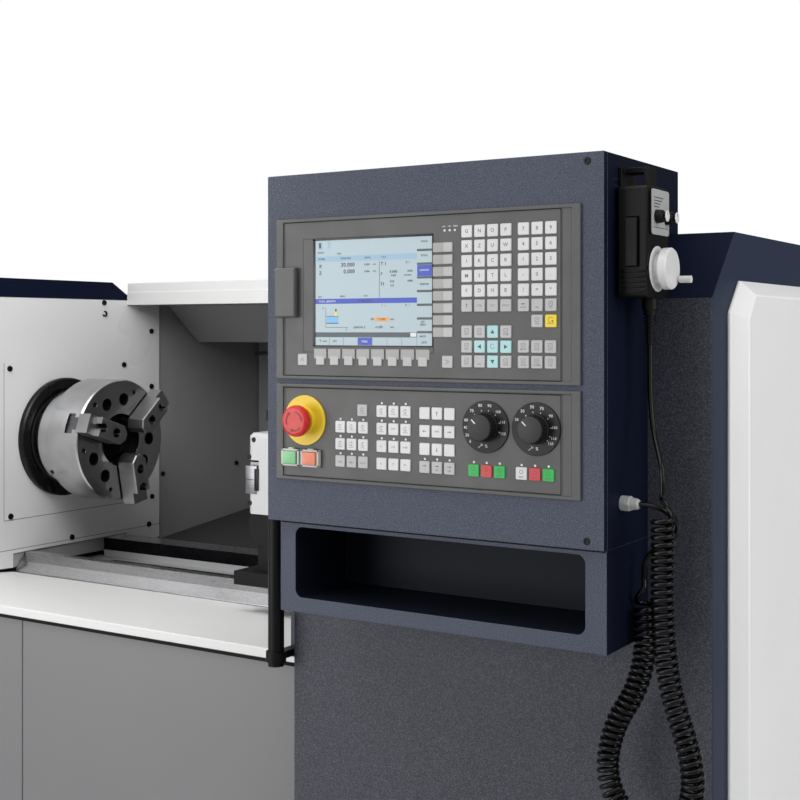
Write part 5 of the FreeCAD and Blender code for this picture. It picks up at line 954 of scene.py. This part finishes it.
def panel_keys():
    """Every key, in its colour, and the lamps over the keys."""
    square = (14.2, 14.2, 1.2, KEY_RISE, 0.95)
    soft_key = (12.4, 11.2, 0.8, KEY_RISE, 0.95)
    white = LETTERS[4:] + NUMBERS[3:] + FIRST_GROUP[3:] + SECOND_GROUP + THIRD_GROUP[3:] + SPINDLE_KEYS[:1]
    cyan = [CURSOR[k] for k in (10, 5, 6, 7, 2)]
    grey = LETTERS[:4] + NUMBERS[:3] + EDITING[:1] + AREAS + TURN_KEYS + SINGLE_KEY + FIRST_GROUP[:3]
    grey += THIRD_GROUP[:3] + [p for p in CURSOR if p not in cyan]
    keys("white_keys", white, KEY_WHITE, square)
    keys("grey_keys", grey, KEY_GREY, square)
    keys("cursor_keys", cyan, KEY_CYAN, square)
    keys("input_key", EDITING[1:], KEY_YELLOW, square)
    keys("green_keys", [FEED_KEYS[0], FEED_KEYS[2], SPINDLE_KEYS[2]], KEY_GREEN, square)
    keys("red_keys", [FEED_KEYS[1], SPINDLE_KEYS[1]], KEY_RED, square)
    keys("side_key_lands", SIDE_KEYS, KEY_SHADE, (14.5, 11.2, 0.6, 0.9, 0.97), aside=-7.2)
    keys("side_keys", SIDE_KEYS, KEY_GREY, soft_key, aside=6.1)
    keys("foot_key_lands", FOOT_KEYS, KEY_SHADE, (19.0, 12.3, 0.8, 0.9, 0.97), up=8.2)
    keys("foot_keys", FOOT_KEYS, KEY_GREY, soft_key)
    lit = FIRST_GROUP + THIRD_GROUP[:3] + FEED_KEYS + SPINDLE_KEYS
    lamps = [(x, y, z + 9.5) for x, y, z in lit] + [(x, y, z + 9.6) for x, y, z in SECOND_GROUP[3:]]
    lamps += [(x, FIELD_Y, 1477.0) for x in (867.5, 874.4, 881.3)]
    keys("lamps_over_keys", lamps, PRINT_WHITE, (2.6, 2.6, 0.7, 0.35, 0.85))


def print_words(name, items, weight=0.014):
    """Lettering on the panels as one piece of flat meshes: text, place in mm, height, finish."""
    holders = []
    for text, _, height, _ in items:
        curve = bpy.data.curves.new("words", "FONT")
        curve.body = text
        curve.size = height / 0.7  # a capital's share of the font's size
        curve.offset = height * weight
        curve.space_character = 1.1
        curve.align_x = "CENTER"
        curve.align_y = "CENTER"
        curve.resolution_u = 2
        holders.append(new_object("words", curve))
    bpy.context.view_layer.update()
    graph = bpy.context.evaluated_depsgraph_get()
    form = Form()
    across, up = FRONT
    for holder, (_, place, _, finish) in zip(holders, items):
        mesh = bpy.data.meshes.new_from_object(holder.evaluated_get(graph))
        letters = bmesh.new()
        letters.from_mesh(mesh)
        bpy.data.meshes.remove(mesh)
        for vert in letters.verts:
            vert.co = Vector(place) + across * vert.co.x + up * vert.co.y
        form.add(letters, finish)
    for holder in holders:
        curve = holder.data
        bpy.data.objects.remove(holder)
        bpy.data.curves.remove(curve)
    form.done(name, "cabinet_leaf")


def on_key(place, up=0.0):
    return (place[0], KEY_TOP, place[2] + up)


def key_words():
    """Letters, numbers and short words on the keys: keys, words, place above the middle, height."""
    rows = [
        (LETTERS[4:], "FDHBMSTLIKCRXZUWGNOP", 0, 4.2),
        (NUMBERS[3:], "/=*-0.123456789", 0, 4.2),
        (LETTERS[1:4], ("CTRL", "ALT", "SPACE"), 0, 2.0),
        (NUMBERS[:3], ("BACK", "DEL", "INS"), -2.5, 1.8),
        (EDITING, ("TAB", "INPUT"), -3, 1.8),
        (CURSOR, ("INFO", "ESC", "", "PAGE", "END", "", "", "", "HELP", "PAGE", "", "HOME"), -3, 1.8),
        (AREAS, ("TOOL", "ALARM", "USER", "MODE", "PROG", "OFFS"), -3.2, 1.8),
        (FIRST_GROUP, ("STEP", "MDI", "AUTO"), -1, 2.0),
        (SECOND_GROUP, ("T-", "T", "T+"), 0, 2.6),
        (SECOND_GROUP[3:], ("x1", "x10", "x100"), 0, 2.2),
        (THIRD_GROUP, ("1", "100", "1000"), -3, 1.9),
    ]
    items = [
        (word, on_key(place, up), height, PRINT_SOFT)
        for places, words, up, height in rows
        for place, word in zip(places, words)
        if word
    ]
    for place, word in zip(FEED_KEYS + SPINDLE_KEYS, ("LEFT", "STOP", "RIGHT", "RESET", "STOP", "START")):
        items.append((word, on_key(place, -4), 1.6, PRINT_DARK if word == "RESET" else FIELD_GREY))
    for x, word in ((866.4, "ON"), (874.2, "NC"), (882.0, "TEMP")):
        items.append((word, (x, FIELD_Y - 0.05, 1481.6), 1.7, PRINT_WHITE))
    print_words("key_words", items)


def key_marks():
    """Arrows and small symbols on the keys."""
    form = Form()

    def mark(outline, place, finish=PRINT_SOFT, up=0.0):
        form.flat(outline, on_key(place, up), FRONT, finish)

    def line(points, place, width=0.4, finish=PRINT_SOFT, up=0.0, closed=False):
        form.line(points, width, on_key(place, up), FRONT, finish, closed)

    for number, angle in ((10, 90), (5, 180), (7, 0), (2, 270)):
        mark(turned_by(TRIANGLE, angle), CURSOR[number], PRINT_DARK)
    line(circle(2.6, 20)[2:], CURSOR[6], 0.45, PRINT_DARK, 0.6)
    mark(turned_by(ARROW, 90), LETTERS[0])
    for place in [*(CURSOR[k] for k in (0, 3, 4, 8, 9, 11)), *AREAS, NUMBERS[2], EDITING[0]]:
        line(rectangle(5.0, 4.4), place, up=1.5, closed=True)
        line([(-1.6, -0.7), (1.6, 0.9)], place, up=1.5)
    mark(turned_by(ARROW, 180), NUMBERS[0], up=1.4)
    line(arc(3.0, [math.radians(40 + 25 * k) for k in range(10)]), EDITING[1], 0.5, FIELD_GREY, 1.2)
    mark([(0.6, -0.6), (3.6, -0.6), (2.2, -2.9)], EDITING[1], FIELD_GREY, 1.2)
    line([(-2.6, -2.2), (0, 2.4), (2.6, -2.2)], TURN_KEYS[0], 0.5, PRINT_DARK)
    line([(-2.2, 2.6), (2.4, 0), (-2.2, -2.6)], TURN_KEYS[1], 0.5, PRINT_DARK)
    for number, angle in ((10, 90), (6, 180), (8, 0), (4, 270)):
        mark(turned_by(ARROW, angle), THIRD_GROUP[number])
    wave = [(-3, -1), (-1.5, 1.4), (0, -1), (1.5, 1.4), (3, -1)]
    line(wave, THIRD_GROUP[7], 0.45)
    line(wave, SECOND_GROUP[7], 0.45, up=0.4)
    for place in [*FIRST_GROUP[3:], *SINGLE_KEY, SECOND_GROUP[6], *SECOND_GROUP[8:]]:
        line(circle(2.4, 14)[1:], place, up=0.8)
        line([(-3.6, -3.4), (3.6, -3.4)], place)
        line([(0, -2), (0, 3.2)], place)
    for place in THIRD_GROUP[:3]:
        mark(ARROW, place, up=1.6)
    for place in FEED_KEYS + SPINDLE_KEYS:
        line(circle(2.2, 12), place, 0.5, FIELD_GREY, 1.8, closed=True)
    form.done("key_marks", "cabinet_leaf")


def screen_picture():
    """A generic turning page: positions, tool, feed, speed, a sketch and soft-key labels."""
    left, right, bottom, top = 682.5, 850.5, 1342.5, 1471.5
    column, foot = 829.8, 1352.0
    rise = (top - bottom) / 8
    width = (column - left) / 7
    marked = top - 2 * rise
    areas = [
        (left, bottom, right, top, SCREEN_GROUND, 1),
        (left, 1445.2, column, 1452.0, SCREEN_BAND, 2),
        (left, 1393.4, column, 1399.6, SCREEN_BLUE, 2),
        (left, 1352.4, column, 1358.4, SCREEN_DARK, 2),
        (column - 9, 1353.2, column - 1, 1357.8, PRINT_WHITE, 3),
        (776.6, 1400.5, 777.2, 1444.0, PRINT_DARK, 2),
        *((column, top - rise * k - 1.4, right, top - rise * k + 1.4, SCREEN_DARK, 2) for k in range(1, 8)),
        (column + 0.4, marked - rise + 1.6, right, marked - 1.6, SCREEN_BLUE, 2),
        *((left + width * k - 0.2, bottom, left + width * k + 0.2, foot, SCREEN_DARK, 2) for k in range(1, 8)),
        (left + width * 3 + 0.4, bottom + 0.4, left + width * 4 - 0.4, foot, SCREEN_BLUE, 2),
        (697.9, 1364.2, 698.4, 1389.5, PRINT_DARK, 2),
        (697.9, 1364.2, 731.5, 1364.7, PRINT_DARK, 2),
        (699.4, 1370.0, 716.6, 1377.6, SCREEN_CYAN, 3),
        (699.0, 1369.0, 717.2, 1370.0, PRINT_DARK, 3),
        (699.0, 1377.6, 717.2, 1378.3, PRINT_DARK, 3),
        (711.5, 1378.3, 715.0, 1383.8, SCREEN_YELLOW, 3),
        (712.2, 1383.8, 714.3, 1387.0, PRINT_DARK, 3),
        (770.5, 1372.0, 790.5, 1376.2, SCREEN_ORANGE, 3),
        (686, 1460.5, 693, 1470, SCREEN_BAND, 2),
        (688, 1462, 691, 1468.5, PRINT_DARK, 3),
        (701, 1461.5, 705, 1470, SCREEN_BAND, 2),
    ]
    form = Form()
    for x0, z0, x1, z1, finish, level in areas:
        middle = ((x0 + x1) / 2, SCREEN_Y - 0.06 * level, (z0 + z1) / 2)
        form.flat(rectangle(x1 - x0, z1 - z0), middle, FRONT, finish)
    form.done("screen_picture", "cabinet_leaf")


SCREEN_WORDS = [
    ("AUTO", 690.5, 1456.5, 2.2), ("RUN", 718, 1454.6, 1.8), ("WORK", 692, 1448.6, 2.2),
    ("POSITION", 728, 1448.6, 2.2), ("REPOS", 760, 1448.6, 2.0), ("T,F,S", 783, 1448.6, 2.2),
    ("X", 690, 1439.6, 4.2), ("30.000", 731, 1440.6, 4.8), ("Z", 690, 1431.2, 4.2),
    ("0.000", 733, 1432.4, 4.8), ("0.000", 759, 1440.4, 2.2), ("mm", 770, 1440.6, 2.0),
    ("0.000", 759, 1432.0, 2.2), ("mm", 770, 1432.4, 2.0), ("T", 780.6, 1440.6, 4.0),
    ("1", 785.6, 1440.6, 4.0), ("D 1", 817, 1441.4, 2.4), ("F", 780.0, 1428.4, 3.6),
    ("0.000", 797, 1430.8, 3.0), ("100%", 820, 1431.2, 2.4), ("0.000", 797, 1426.4, 2.0),
    ("mm/min", 817, 1426.6, 2.0), ("S1", 781.6, 1416.4, 3.8), ("0.0", 795, 1419.2, 3.0),
    ("100%", 820, 1419.4, 2.4), ("0.0", 795, 1414.2, 2.4), ("G54", 689, 1401.9, 2.0),
    ("ZERO", 723, 1402.3, 2.0), ("G18", 757, 1402.6, 2.0), ("TOOL LENGTH", 700, 1396.3, 2.4),
    ("WORK ZERO", 756, 1396.5, 2.4), ("T  1", 783, 1390.2, 2.4), ("D  1", 817, 1390.6, 2.4),
    ("Z0", 766.5, 1374.2, 2.4), ("15.000", 780, 1374.1, 2.6), ("mm", 795, 1374.2, 2.4),
    ("LENGTH Z", 748, 1364.4, 2.4), ("-12.500", 776, 1364.6, 2.4), ("mm", 795, 1364.8, 2.4),
    ("X", 694, 1388.0, 2.2), ("Z", 729, 1361.6, 2.2), ("T", 690, 1347.4, 3.4), ("OFFS", 696.5, 1347.2, 2.0),
    ("SET", 712, 1347.4, 2.4), ("HOLD", 840, 1465.6, 2.2), ("TOOL", 840, 1449.0, 2.4),
    ("LENGTH", 840, 1431.6, 2.2), ("WIDTH", 840, 1415.0, 2.4), ("SET", 838, 1370.6, 2.2),
    ("ZERO", 838, 1367.4, 2.2), ("BACK", 838, 1353.6, 2.2), ("EXIT", 840, 1346.4, 2.4),
    ("MEAS", 755.6, 1347.2, 2.4),
]


def screen_words():
    pale = ("LENGTH", "MEAS", "TOOL LENGTH")
    items = [
        (text, (x, SCREEN_Y - 0.27, z), height, PRINT_WHITE if text in pale else PRINT_DARK)
        for text, x, z, height in SCREEN_WORDS
    ]
    print_words("screen_words", items, 0.02)


def panel_frame():
    """Groove round each panel's field, drawn as a line of painted shade, and the bezel of the screen."""
    form = Form()
    for corner, low, high in ((PANEL, 4.6, 195.4), (LOWER, 5.0, 115.2)):
        x0, x1 = corner[0] + 12.5, corner[0] + 394.6
        z0, z1 = corner[1] + low, corner[1] + high
        outline = [(x0, z0), (x1, z0), (x1, z1), (x0, z1)]
        form.line(outline, 0.8, (0, GROOVE_Y[corner], 0), FRONT, SHADE_LINES_AND_MARKS, closed=True)
    form.done("panel_groove_shadows", "cabinet_leaf")
    bezel = Form()
    for x0, z0, x1, z1 in (
        (678.6, 1341.0, 682.4, 1473.6),
        (850.6, 1341.0, 851.6, 1473.6),
        (678.6, 1471.6, 851.6, 1473.6),
        (678.6, 1341.0, 851.6, 1342.4),
    ):
        middle = ((x0 + x1) / 2, SCREEN_Y + 0.05, (z0 + z1) / 2)
        bezel.prism(rectangle(x1 - x0, z1 - z0), middle, FRONT, 0.5, BEZEL_BLACK, 0.1)
    bezel.done("screen_frame", "cabinet_leaf")


panel_keys()
key_words()
key_marks()
screen_picture()
screen_words()
panel_frame()

# ---------------------------------------------------------------- operating elements

STOP = (667, -693.8, 1249)
START = (647, 1202)
HALT = (677, 1202)
FEED_DIAL = (922, 1250.5)
SPEED_DIAL = (986, 1250.5)


def emergency_stop():
    """Mushroom head with a knurled rim and three arrows; it replaces the plain head."""
    x, y, z = STOP
    arrows = (x, y - 16.95, z)
    dome = [(13.4, 19.2), (15.2, 18.6), (16.4, 16.8), (16.8, 15.2), (16.2, 8.0), (16.0, 0)]
    form = Form()
    form.turned([(-2, 12.5), (4.5, 12.5), (6, 14)], STOP, TO_OPERATOR, STOP_MARK)
    form.turned([(5.5, 14.5), (7.0, 18.6), (8.0, 19.2)], STOP, TO_OPERATOR, STOP_RED, 48)
    form.prism(ribbed(19.6, 36, 0.5), (x, y - 8.0, z), FRONT, 5.5, STOP_RED)
    form.turned(dome, STOP, TO_OPERATOR, STOP_RED, 48)
    for turn in (20, 140, 260):
        for outline in (band(10.8, 12.8, 0, 62), [(9.4, -0.2), (14.2, -0.2), (11.8, -4.6)]):
            form.flat(turned_by(outline, turn), arrows, FRONT, STOP_MARK)
    form.done("emergency_head", "stop_button", ("stop_head",))


def push_button(name, node, place, lens, body):
    """A lit lens on its key, in a clear bezel on the panel."""
    x, z = place
    form = Form()
    form.prism(rectangle(19.4, 15.6, 1.2), (x, FIELD_Y - 0.6, z), FRONT, 7.0, lens, 0.8)
    for k in range(-2, 3):
        form.prism(rectangle(13, 0.5), (x, FIELD_Y - 7.5, z + 2.4 * k), FRONT, 0.3, lens)
    form.done(name, body, (node,))
    bezel = Form()
    wide, high, thick, gap = 13.8, 10.7, 2.6, 10.6
    for x0, z0, x1, z1 in (
        (-wide, -high, wide, thick - high),
        (-wide, high - thick, wide, high),
        (-wide, -high, -gap, high),
        (gap, -high, wide, high),
    ):
        bezel.block((x + x0, FIELD_Y - 5.6, z + z0), (x + x1, FIELD_Y, z + z1), BEZEL_CLEAR, 0.5)
    latch = (x - 4, FIELD_Y - 4.1, z + high - 0.5), (x + 4, FIELD_Y, z + high + 1.6)
    bezel.block(*latch, BEZEL_CLEAR, 0.4)
    bezel.done(name + "_bezel", "cabinet_leaf")


FEED_NUMBERS = [
    ("60", -24.8, 7.0), ("70", -17.5, 17.8), ("80", -6.4, 24.3), ("90", 5.5, 24.1), ("100", 16.6, 17.6),
    ("110", 22.3, 6.0), ("120", 22.9, -6.9), ("20", -23.4, -10.2), ("40", -25.4, -1.6), ("6", -19.4, -17.2),
]
SPEED_NUMBERS = [
    ("10", -24.1, 9.8), ("30", -16.5, 19.6), ("50", -4.5, 24.5), ("70", 7.6, 23.2), ("90", 18.6, 15.1),
    ("100", 23.2, 2.4), ("110", 22.1, -9.7), ("120", 18.3, -15.4),
]


def dial(name, node, place, numbers, body):
    """Black dial with numbers and ticks on the panel, and its knob on the shaft."""

    def at(height, dx=0.0, dz=0.0):
        return (place[0] + dx, FIELD_Y - height, place[1] + dz)

    face = Form()
    face.turned([(0, 30), (1.3, 30), (1.6, 29.6)], at(0), TO_OPERATOR, DIAL_BLACK, 64)
    for _, dx, dz in numbers:
        away = math.hypot(dx, dz)
        tick = [(dx * reach / away, dz * reach / away) for reach in (18.0, 20.0)]
        face.line(tick, 0.7, at(1.66), FRONT, PRINT_WHITE)
    face.line(circle(2.4, 12)[:4], 0.5, at(1.66, -6, -22), FRONT, PRINT_WHITE)
    face.line([(-3, -2), (3, 2)], 0.5, at(1.66, -6, -22), FRONT, PRINT_WHITE)
    face.done(name + "_face", "cabinet_leaf")
    items = [
        (text, at(1.68, dx, dz), 3.4 if len(text) < 3 else 3.0, PRINT_WHITE) for text, dx, dz in numbers
    ]
    items.append(("%", at(1.68, 1.5, -22), 3.4, PRINT_WHITE))
    print_words(name + "_numbers", items)
    knob = Form()
    knob.turned([(0, 17.2), (2.2, 17.2), (2.8, 16.4)], at(1.8), TO_OPERATOR, DIAL_BLACK, 48)
    knob.prism(ribbed(16.4, 30, 0.7), at(4.3), FRONT, 12.4, DIAL_BLACK, taper=0.95)
    knob.turned([(0, 15.0), (1.0, 14.6), (1.3, 13.8), (1.2, 0)], at(16.7), TO_OPERATOR, KNOB_FACE, 48)
    knob.line([(-9.0, 9.0), (-4.5, 4.5)], 1.3, at(18.05), FRONT, PRINT_WHITE)
    knob.done(name + "_knob", body, (node,))


emergency_stop()
push_button("start_lens", "start_button", START, LENS_GREEN, "start_key")
push_button("halt_lens", "halt_button", HALT, LENS_ORANGE, "halt_key")
dial("feed", "feed_knob", FEED_DIAL, FEED_NUMBERS, "feed_override")
dial("speed", "speed_knob", SPEED_DIAL, SPEED_NUMBERS, "speed_override")

# ---------------------------------------------------------------- work space

# Faces of the left wall's plate and of the lining behind it.
WALL_X = -512.5
LINING_X = -515.5
WALL_SCREWS = [
    (-121.9, 1281.3), (213.5, 1282.3), (304.6, 1359.5), (304.6, 1229.3), (306.7, 968.9), (296.1, 904.7),
    (-119.5, 972.3), (52.6, 906.4), (215.5, 974.2), (150.5, 1424),
]
LINING_SCREWS = [(347.4, 1018.6), (622.5, 1021.2)]


def work_space():
    """Screws and seams of the left wall, the seams drawn as painted shadow lines, a painted shade line at the
    plate's edge, the hook and the rod.
    """
    places = [(WALL_X, *p) for p in WALL_SCREWS] + [(LINING_X, *p) for p in LINING_SCREWS]
    screws("wall_screws", places, RIGHT, "machine", (6.4, 3.4, 0.55, 1.8, 24))
    seams = Form()
    for seam in (((-136.7, 965), (-136.7, 1293)), ((-136.7, 964.5), (214, 964.5)), ((-480, 902), (333, 902))):
        seams.line(seam, 1.4, (WALL_X + 0.15, 0, 0), RIGHT, SEAM_SHADOW_GREY)
    seams.line([(333.9, 857), (333.9, 1430)], 1.6, (WALL_X + 0.2, 0, 0), RIGHT, SHADE_LINES_AND_MARKS)
    seams.prism(band(4, 6.5, -160, 100), (WALL_X + 0.1, 151.4, 1399), RIGHT, 4, BLACK_PARTS_AND_HOLLOW_SHADE)
    seams.turned([(0, 5), (372, 5)], (WALL_X + 0.1, 700, 1302), TO_RIGHT, SHAFT_STEEL, 20)
    seams.done("wall_seam_shadows", "machine")


def chuck_marks():
    """Guide lines on the face, marks beside the jaws and the grease plug, and the ring's bolts."""
    front = (-342.3, SPINDLE_Y, SPINDLE_Z)
    form = Form()
    for radius in (110, 68):
        form.line(circle(radius, 72), 0.35, front, RIGHT, SHADED_WAY_AND_LINES, closed=True)
    form.done("chuck_lines", "spindle")
    marks = Form()
    for number in "123":
        middle = middle_of("top_jaw_" + number)
        angle = math.degrees(math.atan2(middle.z - SPINDLE_Z, middle.y - SPINDLE_Y))
        for x in (62, 68, 74, 80):
            marks.flat(turned_by(strip((x, 25), (x, 32), 0.8), angle), front, RIGHT, SHADE_LINES_AND_MARKS)
        marks.flat(turned_by(strip((58, 0), (126, 0), 0.1), angle), front, RIGHT, SHADE_LINES_AND_MARKS)
    side = Vector((0, -0.87, -0.5))
    plug = Vector((-430, SPINDLE_Y, SPINDLE_Z)) + side * 126.9
    marks.turned([(0, 5), (0.3, 5)], plug, side, BLACK_PARTS_AND_HOLLOW_SHADE, 20)
    marks.done("chuck_marks", "spindle")
    ring = [(-499.5, SPINDLE_Y + 119.5 * x, SPINDLE_Z + 119.5 * y) for x, y in circle(1, 8, 0.35)]
    screws("ring_bolts", ring, RIGHT, "machine", (5.6, 2.6, 0.5, 1.6, 20))


def tool_post():
    """Insert, slot and screws on the face of the tool post; the slot is black strips of painted shade."""
    y = -200.0
    form = Form()
    form.block((180.4, y - 1.0, 1075), (205, y, 1124), TOOL_STEEL, 0.3)
    form.block((200.0, y - 1.4, 1081), (209.5, y - 0.8, 1119), BLACK_PARTS_AND_HOLLOW_SHADE, 0.1)
    form.block((184, y - 1.5, 1099.2), (199, y - 0.9, 1100), BLACK_PARTS_AND_HOLLOW_SHADE, 0.0)
    form.done("tool_insert", "turret")
    places = [(197.9, y, 1169.8), (188.2, y, 1139.7), (189.2, y, 1058.8)]
    screws("tool_post_screws", places, FRONT, "turret", (4.6, 1.2, 0.7, 1.0, 20))


def sill_shadow_line():
    """Painted shadow between the sill's lip and the base."""
    form = Form()
    form.block((-512, -554.0, 897.5), (552, -553.2, 902.4), SHADE_LINES_AND_MARKS, 0.0)
    form.done("sill_lip_shadow", "machine")


work_space()
chuck_marks()
tool_post()
sill_shadow_line()

# ---------------------------------------------------------------- cabinet and hand unit

DOOR_Y = -684
UNIT_X = 1106.5
UNIT_Y = -622


def cabinet_small_parts():
    """Screws of the cabinet's door, the edge of the cut-out in its side and a painted shadow line under the
    door.
    """
    places = [(1046, DOOR_Y, 1130), (1047, DOOR_Y, 1546)]
    screws("door_screws", places, FRONT, "cabinet_leaf", (4.2, 1.0, 0.6, 0.9, 20))
    form = Form()
    form.line(rectangle(25, 8, 3.9, 5), 0.8, (1066.65, -647.5, 1524.5), RIGHT, FRAME_BLUE, closed=True)
    form.line([(-221, 0), (222, 0)], 2.2, (843, -676.2, 1118.8), FRONT, SHADE_LINES_AND_MARKS)
    form.done("side_opening_edge_and_door_shadow", "machine")


def hand_unit():
    """Label, knob caps, ring and grip ribs of the hand unit."""
    print_x = UNIT_X + 0.75
    form = Form()
    form.prism(rectangle(52, 50, 4), (UNIT_X - 0.2, UNIT_Y, 1491), RIGHT, 0.9, LABEL_SILVER)
    for k in range(4):
        row = (print_x, UNIT_Y, 1507 - 3.4 * k)
        form.line([(-20, 0), (8 - 4 * k, 0)], 1.0, row, RIGHT, PRINT_DARK)
    form.flat(rectangle(46, 0.6), (print_x, UNIT_Y, 1474), RIGHT, PRINT_DARK)
    form.turned([(0, 26), (1.6, 25), (2.2, 22)], (UNIT_X - 1.2, -629, 1428.5), TO_RIGHT, WHEEL_SILVER, 64)
    form.done("unit_label", "machine")
    for name, y, body in (("axis", -634, "axis_selector"), ("step", -604, "step_selector")):
        cap = Form()
        cap.turned([(0, 6.2), (0.5, 6.2), (0.7, 5.8)], (1119.4, y, 1486), TO_RIGHT, KEY_WHITE)
        cap.line([(0, 1.5), (0, 5.4)], 1.0, (1120.15, y, 1486), RIGHT, PRINT_DARK)
        cap.done(name + "_cap", body)
    ribs = Form()
    for k in range(5):
        z = 1401.5 + 5.6 * k
        ribs.block((1074, -657.4, z), (1102, -655.8, z + 3), UNIT_BLACK, 0.6)
    ribs.done("unit_ribs", "machine")


cabinet_small_parts()
hand_unit()

# ---------------------------------------------------------------- sides that the photograph hides

REAR_Y = 725
LEFT_X = -1165
SHEET = 1.5
# Covers on each side: middle, width, height.
COVERS = {
    "back": [
        ((-820, REAR_Y, 800), 460, 900),
        ((60, REAR_Y, 600), 620, 560),
        ((780, REAR_Y, 600), 560, 560),
    ],
    "left": [((LEFT_X, 300, 520), 560, 620), ((LEFT_X, -260, 520), 380, 620)],
}
# The louvres' width and height follow the pattern's own axes, which lie turned on the left side.
SIDES = {"back": (BACK, 70, 6), "left": (LEFT, 6, 70)}


def hidden_sides():
    """Covers, louvres and screws on the back and on the left end."""
    form = Form()
    for side, covers in COVERS.items():
        for middle, width, height in covers:
            form.prism(rectangle(width, height, 12), middle, SIDES[side][0], SHEET, CABINET_BLUE, 0.5)
    form.done("access_covers", "machine")
    for side, (facing, wide, high) in SIDES.items():
        heads, louvres = [], []
        for middle, width, height in COVERS[side]:
            base = Vector(middle) + facing[0].cross(facing[1]) * SHEET
            x, z = width / 2 - 14, height / 2 - 14
            corners = [(sx * x, sz * z) for sx in (-1, 1) for sz in (-1, 0, 1)]
            heads += on_face(corners, base, facing)
            rows = [(x, row * 16 - height / 2 + 60) for row in range(6) for x in (-90, 0, 90)]
            louvres += on_face(rows, base, facing)
        screws(side + "_cover_screws", heads, facing, "machine", (5.0, 2.0, 0.55, 1.2, 18))
        sizes = (wide, high, 2.9, 1.2, 0.9)
        set_out(KEYS, side + "_louvres", louvres, facing, BLACK_PARTS_AND_HOLLOW_SHADE, "machine", sizes)


hidden_sides()
